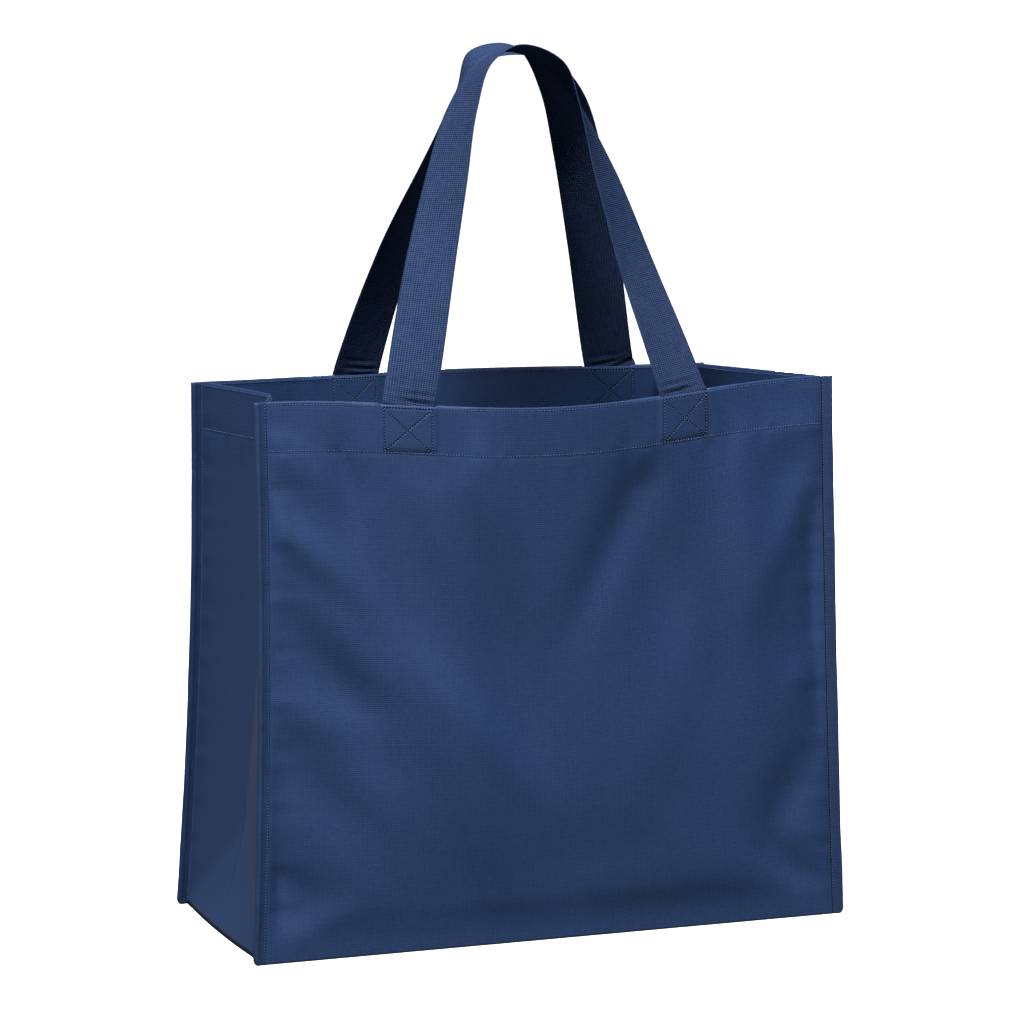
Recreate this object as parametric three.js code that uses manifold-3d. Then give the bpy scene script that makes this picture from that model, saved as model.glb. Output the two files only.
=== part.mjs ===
// Reusable shopping bag in woven polyester with two webbing handles.
// Millimetres, +Z up. The origin is on the ground, under the middle of the base.
// X runs along the wide front, -Y is the front and +Y the back.
// One long strip of cloth is the front, the base and the back. Two gussets close the sides.
// Their edges are laid together as four narrow upright fins. Each mouth edge has a turned-in hem,
// and the four webbing ends go down into the hem of the front and the back.

import * as THREE from 'three';
import { mergeVertices } from 'three/addons/utils/BufferGeometryUtils.js';
import Module from 'manifold-3d';

const wasm = await Module();
wasm.setup();

// Body of the bag, measured on the seam lines
const base_width = 440;
const base_depth = 197;
const bag_height = 398;
const mouth_width = 425.5;
const mouth_depth = 147;

// How the open mouth has settled: the whole of it, then each corner of it
const mouth_shift = 4;
const mouth_set_forward = 1.5;
const corner_drop = { front_left: 0, front_right: -1, back_left: 2, back_right: 4 };
const corner_pulled_in = { front_left: 0, front_right: 0, back_left: -3.5, back_right: 36 };
const seam_flare = 2.2;
const front_sag = 11;
const back_sag = 0;
const front_bow = 18;
const back_bow = 18;

// Cloth and seams
const cloth_thickness = 0.8;
const laid_gap = 0.3;
const bottom_fold_radius = 1.2;
const fin_width = 8.5;
const fin_corner_radius = 5;
const fin_overlap = 1;
const fin_thinning = 0.1;
const hem_depth = 35.5;
const hem_gap = 0.4;
const hem_end_margin = 5;

// Gussets: an upright crease pushed inward, above a triangle that lies flatter
const left_fold_depth = 19;
const right_fold_depth_low = 14;
const right_fold_depth_top = 6;
const triangle_steepness = 1.015;
const crease_softness = 0.08;
const crease_at_ground = 0.55;
const left_crease_at_mouth = 0.34;
const right_crease_at_mouth = 0.66;

// Webbing handles
const webbing_width = 38;
const webbing_thickness = 1.6;
const webbing_clearance = 0.3;
const webbing_end_margin = 3.5;
const hem_open_margin = 15;
const hem_open_ramp = 16;
const arch_foot_above_edge = 1;
const pocket_stops = [5, 18];
const crown_clearance = 1;
const crown_tilt = 10;

// Each route is given at six stations from the crown, 0, to the mouth, 1
const stations = [0, 0.2, 0.4, 0.6, 0.8, 1];
const front_handle_sizes = {
  face: -1,
  spacing: 208,
  centre: -1,
  crown_rise: 241,
  crown_shift: -3,
  drop_power: 1.9,
  lean_power: 2.7,
  left_spread: [0, 0.22, 0.4, 0.56, 0.76, 1],
  right_spread: [0, 0.29, 0.47, 0.62, 0.79, 1],
  twist: [0, 2, 24, 51, 71, 90],
};
const back_handle_sizes = {
  face: 1,
  spacing: 198,
  centre: 9,
  crown_rise: 238.5,
  crown_shift: -2,
  drop_power: 2.2,
  lean_power: 2,
  left_spread: [0, 0.27, 0.38, 0.5, 0.75, 1],
  right_spread: [0, 0.24, 0.44, 0.61, 0.79, 1],
  twist: [0, 24, 43, 60, 75, 90],
};

// Soft folds of a standing wall. Places are in millimetres from the middle of the wall at the
// ground, lean is the angle from upright, and a depth above 0 stands out of the bag.
const front_folds = [
  { across: -78, up: 262, lean: 24, length: 80, width: 17, depth: 5 },
  { across: 44, up: 312, lean: -27, length: 48, width: 12, depth: -4 },
  { across: -172, up: 234, lean: 50, length: 48, width: 12, depth: -3.5 },
  { across: -176, up: 190, lean: 62, length: 40, width: 11, depth: 3 },
  { across: -180, up: 152, lean: 60, length: 36, width: 11, depth: -2.5 },
  { across: 190, up: 262, lean: -22, length: 48, width: 12, depth: -3.5 },
  { across: 188, up: 152, lean: -30, length: 34, width: 11, depth: -3 },
  { across: 190, up: 98, lean: -35, length: 34, width: 10, depth: 3 },
  { across: -182, up: 34, lean: -58, length: 34, width: 10, depth: 3 },
  { across: 182, up: 36, lean: 55, length: 34, width: 10, depth: 3 },
];
const back_folds = [
  { across: 148, up: 352, lean: -4, length: 60, width: 13, depth: 9 },
  { across: -92, up: 268, lean: 28, length: 84, width: 17, depth: 5 },
  { across: 40, up: 258, lean: -30, length: 74, width: 16, depth: -4 },
  { across: -178, up: 214, lean: 52, length: 46, width: 12, depth: -3.5 },
  { across: -178, up: 146, lean: 58, length: 38, width: 11, depth: 3 },
  { across: 182, up: 196, lean: -48, length: 46, width: 12, depth: -3.5 },
  { across: -182, up: 34, lean: -58, length: 34, width: 10, depth: 3 },
  { across: 182, up: 36, lean: 55, length: 34, width: 10, depth: 3 },
];
const fold_edge_fade = 14;
const fold_ground_fade = 10;
const bow_power = 1.5;
const pull_power = 3;

// Mesh divisions
const strip_columns = 26;
const wall_rows = 15;
const hem_rows = 2;
const crest_rows = 3;
const bottom_fold_rows = 3;
const base_rows = 3;
const gusset_columns = 12;
const gusset_rows = 16;
const gusset_hem_rows = 2;
const fin_rows = 14;
const fin_row_bias = 1.3;
const strap_rows_per_stop = 6;
const strap_columns = 2;
const opening_stops = 3.5;

// Sizes that follow from the ones above
const layer_step = cloth_thickness + laid_gap;
const hem_step = cloth_thickness + hem_gap;
const pocket_step = cloth_thickness + webbing_thickness + 2 * webbing_clearance;
const webbing_in_hem = hem_depth - webbing_end_margin;
const hem_open_half_width = webbing_width / 2 + hem_open_margin;
const crown_centre_gap = webbing_width + crown_clearance;
const triangle_height = triangle_steepness * base_depth / 2;
const wall_start = bottom_fold_radius + cloth_thickness / 2;
const base_level = cloth_thickness / 2;
const gusset_start = cloth_thickness + laid_gap;

const mix = (from, to, share) => from + (to - from) * share;
const ease = (share) => THREE.MathUtils.smoothstep(share, 0, 1);

function cornerName(side, face) {
  return (face < 0 ? 'front_' : 'back_') + (side < 0 ? 'left' : 'right');
}

// A seam line: side is -1 at the left and 1 at the right, face is -1 at the front and 1 at the back.
// It flares quickly above the ground, and a pulled-in corner moves mostly near the mouth.
function seamPoint(side, face, z) {
  const share = z / bag_height;
  const flare = 1 - Math.pow(1 - Math.min(share, 1), seam_flare);
  const drift = side * (mouth_width - base_width) / 2 + mouth_shift;
  const pulled = side * corner_pulled_in[cornerName(side, face)] * Math.pow(share, pull_power);
  const x = side * base_width / 2 + drift * flare - pulled;
  const y = face * mix(base_depth, mouth_depth, share) / 2 - mouth_set_forward * share;
  return new THREE.Vector3(x, y, z);
}

function seamTop(side, face) {
  return bag_height - corner_drop[cornerName(side, face)];
}

// Height of the mouth edge of the front or back wall, which sags between its seams
function wallTop(face, across) {
  const sag = face < 0 ? front_sag : back_sag;
  const level = mix(seamTop(-1, face), seamTop(1, face), across);
  return level - sag * Math.pow(Math.sin(Math.PI * across), 2);
}

// How far a point of the wall stands out through the soft folds, each a long low mound
function foldOffset(folds, x, z) {
  let offset = 0;
  for (const fold of folds) {
    const turn = THREE.MathUtils.degToRad(fold.lean);
    const dx = x - fold.across;
    const dz = z - fold.up;
    const along = dx * Math.sin(turn) - dz * Math.cos(turn);
    const beside = dx * Math.cos(turn) + dz * Math.sin(turn);
    offset += fold.depth * Math.exp(-((along / fold.length) ** 2) - (beside / fold.width) ** 2);
  }
  return offset;
}

// 1 where a webbing end lies behind the wall and the hem is opened for it, falling to 0 beside it
function pocketShare(face, x) {
  const sizes = face < 0 ? front_handle_sizes : back_handle_sizes;
  const reach = Math.abs(Math.abs(x - sizes.centre) - sizes.spacing / 2);
  return 1 - ease((reach - hem_open_half_width) / hem_open_ramp);
}

// A point of the front or back wall. across runs from 0 at the left seam to 1 at the right one.
function wallPoint(face, across, z) {
  const top = wallTop(face, across);
  const share = z / top;
  const left = seamPoint(-1, face, share * seamTop(-1, face));
  const right = seamPoint(1, face, share * seamTop(1, face));
  const x = mix(left.x, right.x, across);
  const bow = (face < 0 ? front_bow : back_bow) * Math.pow(Math.sin(Math.PI * across), 2);
  const from_seam = Math.min(x - left.x, right.x - x);
  const below_edge = top - z;
  const in_hem = 1 - ease((below_edge - hem_depth) / hem_depth);
  const fade = ease(from_seam / fold_edge_fade) * ease(z / fold_ground_fade - 1)
    * (1 - in_hem * pocketShare(face, x));
  const folds = foldOffset(face < 0 ? front_folds : back_folds, x, z) * fade;
  const y = mix(left.y, right.y, across) + face * (bow * Math.pow(share, bow_power) + folds);
  return new THREE.Vector3(x, y, z);
}

// A sheet of cloth: a flat box, bent so that its middle layer passes through the given grid.
// middle(u, row) gives the grid; u runs across the sheet, and row counts along it.
function bendSheet(columns, rows, thickness, middle) {
  const grid = [];
  for (let row = 0; row <= rows; row++) {
    const line = [];
    for (let column = 0; column <= columns; column++) {
      line.push(middle(column / columns, row));
    }
    grid.push(line);
  }
  const box = new THREE.BoxGeometry(1, 1, 1, columns, 1, rows);
  box.deleteAttribute('normal');
  box.deleteAttribute('uv');
  const sheet = mergeVertices(box);
  const position = sheet.attributes.position;
  const along = new THREE.Vector3();
  const across = new THREE.Vector3();
  const normal = new THREE.Vector3();
  for (let index = 0; index < position.count; index++) {
    const column = Math.round((position.getX(index) + 0.5) * columns);
    const row = Math.round((position.getZ(index) + 0.5) * rows);
    along.subVectors(grid[Math.min(row + 1, rows)][column], grid[Math.max(row - 1, 0)][column]);
    across.subVectors(
      grid[row][Math.min(column + 1, columns)],
      grid[row][Math.max(column - 1, 0)],
    );
    normal.crossVectors(along, across).normalize();
    const point = grid[row][column].clone();
    point.addScaledVector(normal, position.getY(index) * thickness);
    position.setXYZ(index, point.x, point.y, point.z);
  }
  return sheet;
}

function toSolid(geometry) {
  const mesh = new wasm.Mesh({
    numProp: 3,
    vertProperties: new Float32Array(geometry.attributes.position.array),
    triVerts: new Uint32Array(geometry.index.array),
  });
  return new wasm.Manifold(mesh);
}

function toGeometry(solid) {
  const mesh = solid.getMesh();
  const geometry = new THREE.BufferGeometry();
  geometry.setAttribute('position', new THREE.BufferAttribute(mesh.vertProperties, 3));
  geometry.setIndex(new THREE.BufferAttribute(mesh.triVerts, 1));
  geometry.computeVertexNormals();
  return geometry;
}

// The distance between the outer layer and the turned-in layer of a hem, middle to middle
function hemStep(face, x) {
  return mix(hem_step, pocket_step, pocketShare(face, x));
}

// Rows of the long strip, from the free end of the front hem, over the mouth edge, down the front,
// under the base, up the back and into the back hem. Each row is a function of u.
function stripRows() {
  const rows = [];
  const margin = hem_end_margin / mouth_width;
  const hemRow = (face, below) => (u) => {
    const across = mix(margin, 1 - margin, u);
    const point = wallPoint(face, across, wallTop(face, across) - below);
    point.y -= face * hemStep(face, point.x);
    return point;
  };
  const crestRow = (face, turned) => (u) => {
    const inset = margin * turned;
    const across = mix(inset, 1 - inset, u);
    const top = wallTop(face, across);
    const edge = wallPoint(face, across, top);
    const radius = hemStep(face, edge.x) / 2;
    const point = wallPoint(face, across, top - radius);
    point.y -= face * radius * (1 - Math.cos(Math.PI * turned));
    point.z += radius * Math.sin(Math.PI * turned);
    return point;
  };
  const wallRow = (face, share) => (u) => {
    const edge = wallPoint(face, u, wallTop(face, u));
    const highest = edge.z - hemStep(face, edge.x) / 2;
    return wallPoint(face, u, mix(wall_start, highest, share));
  };
  const bottomFoldRow = (face, turned) => (u) => {
    const angle = turned * Math.PI / 2;
    const y = face * (base_depth / 2 - bottom_fold_radius * (1 - Math.sin(angle)));
    const z = wall_start - bottom_fold_radius * Math.cos(angle);
    return new THREE.Vector3(mix(-base_width / 2, base_width / 2, u), y, z);
  };
  const baseRow = (share) => (u) => {
    const reach = base_depth / 2 - bottom_fold_radius;
    const x = mix(-base_width / 2, base_width / 2, u);
    return new THREE.Vector3(x, mix(-reach, reach, share), base_level);
  };
  const half = (face) => {
    const list = [];
    for (let i = 0; i < hem_rows; i++) {
      list.push(hemRow(face, mix(hem_depth, pocket_step / 2, i / hem_rows)));
    }
    for (let i = crest_rows; i > 0; i--) {
      list.push(crestRow(face, i / crest_rows));
    }
    for (let i = wall_rows; i >= 0; i--) {
      list.push(wallRow(face, i / wall_rows));
    }
    for (let i = bottom_fold_rows - 1; i >= 0; i--) {
      list.push(bottomFoldRow(face, i / bottom_fold_rows));
    }
    return list;
  };
  rows.push(...half(-1));
  for (let i = 1; i < base_rows; i++) {
    rows.push(baseRow(i / base_rows));
  }
  rows.push(...half(1).reverse());
  return rows;
}

// How wide a fin stands out at a height; its lower outer corner is rounded
function finReach(z) {
  const below = Math.max(fin_corner_radius - z, 0);
  return fin_width - fin_corner_radius + Math.sqrt(fin_corner_radius ** 2 - below ** 2);
}

// One layer of an upright fin, inset behind the seam line by a step. It starts inside the sheet
// that it belongs to and ends at the outer edge of the fin.
function finLayer(side, face, inset, start, top, root) {
  const middle = (u, row) => {
    const rise = face < 0 ? 1 - row / fin_rows : row / fin_rows;
    const z = mix(start, top, Math.pow(rise, fin_row_bias));
    const point = seamPoint(side, face, z);
    const outward = side < 0 ? 1 - u : u;
    point.x += side * mix(-root, finReach(z), outward);
    point.y -= face * inset;
    return point;
  };
  return bendSheet(1, fin_rows, cloth_thickness - fin_thinning, middle);
}

// The route of a handle: inside the hem, up the arch, over the crown and down into the hem again.
// The width direction lies along the wall at the mouth and turns to lie across the bag at the crown.
// The webbing goes into the hem with the lean of its arch and straightens up on its way down.
function handleRoute(sizes) {
  const centres = [];
  const widths = [];
  const footAt = (side) => {
    const x = sizes.centre + side * sizes.spacing / 2;
    const left = seamPoint(-1, sizes.face, bag_height).x;
    const right = seamPoint(1, sizes.face, bag_height).x;
    return (x - left) / (right - left);
  };
  const pocketPoint = (side, below, outward) => {
    const across = footAt(side) + side * outward / mouth_width;
    const point = wallPoint(sizes.face, across, wallTop(sizes.face, across) - below);
    point.y -= sizes.face * pocket_step / 2;
    return point;
  };
  const wallDirection = (side) => {
    const reach = webbing_width / 2 / mouth_width;
    const inside = footAt(side) - side * reach;
    const outside = footAt(side) + side * reach;
    const inner = wallPoint(sizes.face, inside, wallTop(sizes.face, inside));
    const outer = wallPoint(sizes.face, outside, wallTop(sizes.face, outside));
    return inner.sub(outer).normalize();
  };
  const tilt = THREE.MathUtils.degToRad(crown_tilt);
  const crown = new THREE.Vector3(
    sizes.centre + sizes.crown_shift,
    sizes.face * crown_centre_gap / 2,
    bag_height + sizes.crown_rise,
  );
  const crown_direction = new THREE.Vector3(0, sizes.face * Math.cos(tilt), Math.sin(tilt));
  const leg = (side, spread) => {
    const foot = pocketPoint(side, -arch_foot_above_edge, 0);
    const direction = wallDirection(side);
    const list = [];
    for (let i = 0; i < stations.length; i++) {
      const share = stations[i];
      list.push({
        centre: new THREE.Vector3(
          mix(crown.x, foot.x, spread[i]),
          mix(crown.y, foot.y, Math.pow(share, sizes.lean_power)),
          mix(crown.z, foot.z, Math.pow(share, sizes.drop_power)),
        ),
        width: crown_direction.clone()
          .multiplyScalar(Math.cos(THREE.MathUtils.degToRad(sizes.twist[i])))
          .addScaledVector(direction, Math.sin(THREE.MathUtils.degToRad(sizes.twist[i]))),
      });
    }
    const last = list[list.length - 1].centre;
    const before = list[list.length - 2].centre;
    const lean = Math.abs((last.x - before.x) / (last.z - before.z));
    for (const below of [...pocket_stops, webbing_in_hem]) {
      const outward = lean * (below - below ** 2 / (2 * webbing_in_hem));
      list.push({ centre: pocketPoint(side, below, outward), width: direction.clone() });
    }
    return list;
  };
  const left = leg(-1, sizes.left_spread);
  const right = leg(1, sizes.right_spread);
  const all = [...left.reverse(), ...right.slice(1)];
  for (const stop of all) {
    centres.push(stop.centre);
    widths.push(stop.width);
  }
  return {
    stops: all.length - 1,
    centre: new THREE.CatmullRomCurve3(centres),
    width: new THREE.CatmullRomCurve3(widths),
  };
}

// A strap along part of its route, between two shares of it
function strapAlong(route, from, to, rows, width, thickness) {
  const middle = (u, row) => {
    const share = mix(from, to, row / rows);
    const tangent = route.centre.getTangent(share);
    const direction = route.width.getPoint(share);
    direction.addScaledVector(tangent, -direction.dot(tangent)).normalize();
    return route.centre.getPoint(share).addScaledVector(direction, (u - 0.5) * width);
  };
  return bendSheet(strap_columns, rows, thickness, middle);
}

// The hem is opened for a webbing end: the end with its clearance all round, run on past the edge
function hemOpenings(route) {
  const width = webbing_width + 2 * webbing_clearance;
  const thickness = webbing_thickness + 2 * webbing_clearance;
  const reach = opening_stops / route.stops;
  const rows = opening_stops * strap_rows_per_stop;
  const left = toSolid(strapAlong(route, 0, reach, rows, width, thickness));
  const right = toSolid(strapAlong(route, 1 - reach, 1, rows, width, thickness));
  return left.add(right);
}

function buildMainPanel(routes) {
  const rows = stripRows();
  const middle = (u, row) => rows[row](u);
  let solid = toSolid(bendSheet(strip_columns, rows.length - 1, cloth_thickness, middle));
  for (const side of [-1, 1]) {
    for (const face of [-1, 1]) {
      const top = seamTop(side, face) - hem_step / 2;
      solid = solid.add(toSolid(finLayer(side, face, 0, wall_start, top, fin_overlap)));
    }
  }
  for (const route of routes) {
    solid = solid.subtract(hemOpenings(route));
  }
  return toGeometry(solid);
}

// Share of the way from the front seam to the back seam at which the gusset's crease stands
function creaseShare(side, z) {
  const at_mouth = side < 0 ? left_crease_at_mouth : right_crease_at_mouth;
  return mix(crease_at_ground, at_mouth, Math.min(z / bag_height, 1));
}

// How far the gusset is pushed in: a tent across it, cut off below by the sloping triangle
function pushedIn(side, share, z) {
  const crease = creaseShare(side, z);
  const tent = share < crease ? share / crease : (1 - share) / (1 - crease);
  const slope = z / triangle_height;
  const least = (tent + slope - Math.hypot(tent - slope, crease_softness)) / 2;
  const right_depth = mix(right_fold_depth_low, right_fold_depth_top, ease(z / bag_height));
  return Math.max(least, 0) * (side < 0 ? left_fold_depth : right_depth);
}

function gussetPoint(side, share, z) {
  const height = z / mix(seamTop(side, -1), seamTop(side, 1), share);
  const front = seamPoint(side, -1, height * seamTop(side, -1));
  const back = seamPoint(side, 1, height * seamTop(side, 1));
  const x = mix(front.x, back.x, share) - side * pushedIn(side, share, z);
  const y = mix(front.y + layer_step, back.y - layer_step, share);
  return new THREE.Vector3(x, y, z);
}

// Rows of a gusset, from the free end of its hem, over the mouth edge and down to the base
function gussetRows(side) {
  const margin = hem_end_margin / mouth_depth;
  const at = (u, inset, z) => {
    const across = side < 0 ? 1 - u : u;
    const crease = creaseShare(side, z);
    const share = across < 0.5 ? crease * across * 2 : mix(crease, 1, across * 2 - 1);
    return mix(inset, 1 - inset, share);
  };
  const top = (share) => mix(seamTop(side, -1), seamTop(side, 1), share);
  const rows = [];
  for (let i = 0; i < gusset_hem_rows; i++) {
    rows.push((u) => {
      const share = at(u, margin, bag_height);
      const below = mix(hem_depth, hem_step / 2, i / gusset_hem_rows);
      const point = gussetPoint(side, share, top(share) - below);
      point.x -= side * hem_step;
      return point;
    });
  }
  for (let i = crest_rows; i > 0; i--) {
    const turned = i / crest_rows;
    rows.push((u) => {
      const share = at(u, margin * turned, bag_height);
      const radius = hem_step / 2;
      const point = gussetPoint(side, share, top(share) - radius);
      point.x -= side * radius * (1 - Math.cos(Math.PI * turned));
      point.z += radius * Math.sin(Math.PI * turned);
      return point;
    });
  }
  for (let i = gusset_rows; i >= 0; i--) {
    rows.push((u) => {
      const highest = bag_height - hem_step / 2;
      const level = mix(gusset_start, highest, i / gusset_rows);
      const share = at(u, 0, level);
      const end = top(share) - hem_step / 2;
      return gussetPoint(side, share, mix(gusset_start, end, i / gusset_rows));
    });
  }
  return rows;
}

function buildGusset(side) {
  const rows = gussetRows(side);
  const middle = (u, row) => rows[row](u);
  let solid = toSolid(bendSheet(gusset_columns, rows.length - 1, cloth_thickness, middle));
  for (const face of [-1, 1]) {
    const top = seamTop(side, face) - hem_step / 2;
    const flange = finLayer(side, face, layer_step, wall_start, top, -laid_gap / 2);
    solid = solid.add(toSolid(flange));
  }
  return toGeometry(solid);
}

const cloth = new THREE.MeshStandardMaterial({ color: 0x24396b, roughness: 0.72, metalness: 0 });
const webbing = new THREE.MeshStandardMaterial({ color: 0x35507f, roughness: 0.8, metalness: 0 });

const front_route = handleRoute(front_handle_sizes);
const back_route = handleRoute(back_handle_sizes);

function buildHandle(route) {
  const rows = route.stops * strap_rows_per_stop;
  return strapAlong(route, 0, 1, rows, webbing_width, webbing_thickness);
}

const bag = new THREE.Group();

function addPiece(name, geometry, material) {
  const mesh = new THREE.Mesh(geometry, material);
  mesh.name = name;
  bag.add(mesh);
}

addPiece('main_panel', buildMainPanel([front_route, back_route]), cloth);
addPiece('left_gusset', buildGusset(-1), cloth);
addPiece('right_gusset', buildGusset(1), cloth);
addPiece('front_handle', buildHandle(front_route), webbing);
addPiece('back_handle', buildHandle(back_route), webbing);

export default bag;
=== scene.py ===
"""Reusable shopping bag: woven polyester body, upright seam fins and two webbing handles."""
import logging
import math
from dataclasses import dataclass, field
from enum import Enum
from typing import Callable

import bpy
import numpy as np
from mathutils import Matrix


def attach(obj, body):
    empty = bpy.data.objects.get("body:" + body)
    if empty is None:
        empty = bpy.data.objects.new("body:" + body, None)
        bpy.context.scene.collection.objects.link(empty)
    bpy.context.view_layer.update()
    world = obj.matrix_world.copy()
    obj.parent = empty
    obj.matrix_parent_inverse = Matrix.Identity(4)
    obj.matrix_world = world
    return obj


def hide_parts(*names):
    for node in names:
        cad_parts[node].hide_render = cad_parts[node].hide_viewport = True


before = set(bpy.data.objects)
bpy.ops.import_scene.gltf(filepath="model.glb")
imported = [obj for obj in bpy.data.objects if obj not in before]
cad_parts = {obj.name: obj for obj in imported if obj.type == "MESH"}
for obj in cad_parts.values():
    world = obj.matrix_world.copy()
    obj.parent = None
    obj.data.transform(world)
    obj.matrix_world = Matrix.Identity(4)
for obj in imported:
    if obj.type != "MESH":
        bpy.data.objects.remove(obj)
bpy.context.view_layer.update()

BODY = "root"
MM = 0.001
LINE_SAMPLES = 6000
CURVE_SAMPLES = 8000
CURVE_NUDGE = 1e-4
SHORTEST_SPAN = 1e-4
LOG = logging.getLogger("shopping_bag")

Array = np.ndarray
Surface = Callable[[Array, Array], Array]
Place = tuple[float, float, float]
Waves = tuple[tuple[float, float, float], ...]


class Face(Enum):
    """The two wide walls; the value is the sign of their outward Y."""

    FRONT = -1
    BACK = 1


class Side(Enum):
    """The two gusset sides; the value is the sign of their outward X."""

    LEFT = -1
    RIGHT = 1


class Slot(Enum):
    """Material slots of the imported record."""

    CLOTH = "cloth"
    WEBBING = "webbing"


# ---- Number work -------------------------------------------------------------------------------


def mix(start: float | Array, end: float | Array, share: float | Array) -> float | Array:
    """Straight blend: start plus share times the way from start to end."""
    return start + (end - start) * share


def ease(share: float | Array) -> float | Array:
    """Smooth step: share squared times three minus twice share, held between 0 and 1."""
    held = np.clip(share, 0.0, 1.0)
    return held * held * (3.0 - 2.0 * held)


def mound(distance: float | Array, reach: float) -> float | Array:
    """Bell: e to the power of minus the square of distance over reach."""
    return np.exp(-((distance / reach) ** 2))


def ripple(place: Array, phase: float, waves: Waves) -> Array:
    """Sum of sines.

    Args:
        place: Places along the cloth, in millimetres.
        phase: Turn that sets these sines against others of the same lengths.
        waves: Length, height and share of the phase of each sine.

    Returns:
        Height times the sine of the full turns plus the share of the phase, summed over the waves.
    """
    return sum(height * np.sin(2 * np.pi * place / length + share * phase) for length, height, share in waves)


def run_along(points: Array) -> Array:
    """Distance of each point along its line: the running sum of the steps between them."""
    return np.concatenate([[0.0], np.cumsum(np.linalg.norm(np.diff(points, axis=0), axis=1))])


def unit(ways: Array) -> Array:
    """Each way divided by its length."""
    return ways / np.linalg.norm(ways, axis=-1, keepdims=True)


def square_to(ways: Array, axes: Array) -> Array:
    """Unit ways at right angles to unit axes: each way less its part along the axis."""
    return unit(ways - axes * np.sum(ways * axes, axis=-1, keepdims=True))


@dataclass(frozen=True)
class Spacing:
    """How far apart points lie: usually, near some places, and how far round them, in millimetres."""

    step: float
    fine: float
    reach: float

    def between(self, start: float, stop: float, places: list[float]) -> Array:
        """Points along a line, closer together near some places.

        The spacing is step, falling to fine as a bell round each place. The count of points up to
        x is the running sum of one over the spacing, and the points are where it is whole.

        Args:
            start: First point.
            stop: Last point.
            places: Where the spacing is fine.

        Returns:
            The points, from start to stop.
        """
        line = np.linspace(start, stop, LINE_SAMPLES)
        near = np.zeros_like(line)
        for place in places:
            near = np.maximum(near, mound(line - place, self.reach))
        spacing = mix(self.step, self.fine, near)
        count = np.concatenate([[0.0], np.cumsum(np.diff(line) / spacing[1:])])
        return np.interp(np.linspace(0.0, count[-1], int(round(count[-1])) + 1), count, line)


def surface_normals(surface: Surface, a: Array, b: Array, toward: Array) -> Array:
    """Unit normals of a surface: the cross product of its two slopes, turned to face a way.

    Args:
        surface: Gives points for the two parameters.
        a: First parameter.
        b: Second parameter.
        toward: The way that the normals face.

    Returns:
        One unit normal for each pair of parameters.
    """
    nudge_a, nudge_b = 1e-4, 0.05
    slope_a = surface(a + nudge_a, b) - surface(a - nudge_a, b)
    slope_b = surface(a, b + nudge_b) - surface(a, b - nudge_b)
    normal = unit(np.cross(slope_a, slope_b))
    facing = np.sign(np.sum(normal * toward, axis=-1, keepdims=True))
    return normal * np.where(facing == 0, 1.0, facing)


# ---- Mesh making -------------------------------------------------------------------------------


def grid_quads(rows: int, columns: int, wraps: bool = False) -> Array:
    """Corner numbers of the quads of a grid of points.

    Args:
        rows: Rows of points.
        columns: Points in each row.
        wraps: Whether the last column joins the first.

    Returns:
        An array of four corner numbers for each quad.
    """
    across = columns if wraps else columns - 1
    row, column = np.meshgrid(np.arange(rows - 1), np.arange(across), indexing="ij")
    following = (column + 1) % columns
    corners = [
        row * columns + column,
        row * columns + following,
        (row + 1) * columns + following,
        (row + 1) * columns + column,
    ]
    return np.stack(corners, axis=-1).reshape(-1, 4)


def inside_out(points: Array, quads: Array) -> bool:
    """Whether a closed mesh encloses a negative volume, summed over the tetrahedra of its quads."""
    a, b, c, d = (points[quads[:, i]] for i in range(4))
    volume = np.sum(a * np.cross(b, c)) + np.sum(a * np.cross(c, d))
    return bool(volume < 0)


def new_piece(name: str, points: Array, faces: list[list[int]], uv: Array, material: bpy.types.Material) -> bpy.types.Object:
    """Puts a mesh into the scene as a piece of the bag.

    Args:
        name: Name of the piece.
        points: Its points in millimetres, one row each.
        faces: Corner numbers of each face.
        uv: Flat cloth coordinates of each point, in millimetres.
        material: Its finish.

    Returns:
        The new object, riding on the bag's body.
    """
    mesh = bpy.data.meshes.new(name)
    mesh.from_pydata((points * MM).tolist(), [], faces)
    mesh.validate()
    mesh.polygons.foreach_set("use_smooth", np.ones(len(mesh.polygons), dtype=bool))
    corner = np.empty(len(mesh.loops), dtype=np.int32)
    mesh.loops.foreach_get("vertex_index", corner)
    layer = mesh.uv_layers.new(name="UVMap")
    layer.data.foreach_set("uv", uv[corner].astype(np.float32).ravel())
    mesh.materials.append(material)
    mesh.update()
    piece = bpy.data.objects.new(name, mesh)
    bpy.context.scene.collection.objects.link(piece)
    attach(piece, BODY)
    LOG.info("%s: %d faces", name, len(mesh.polygons))
    return piece


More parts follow.
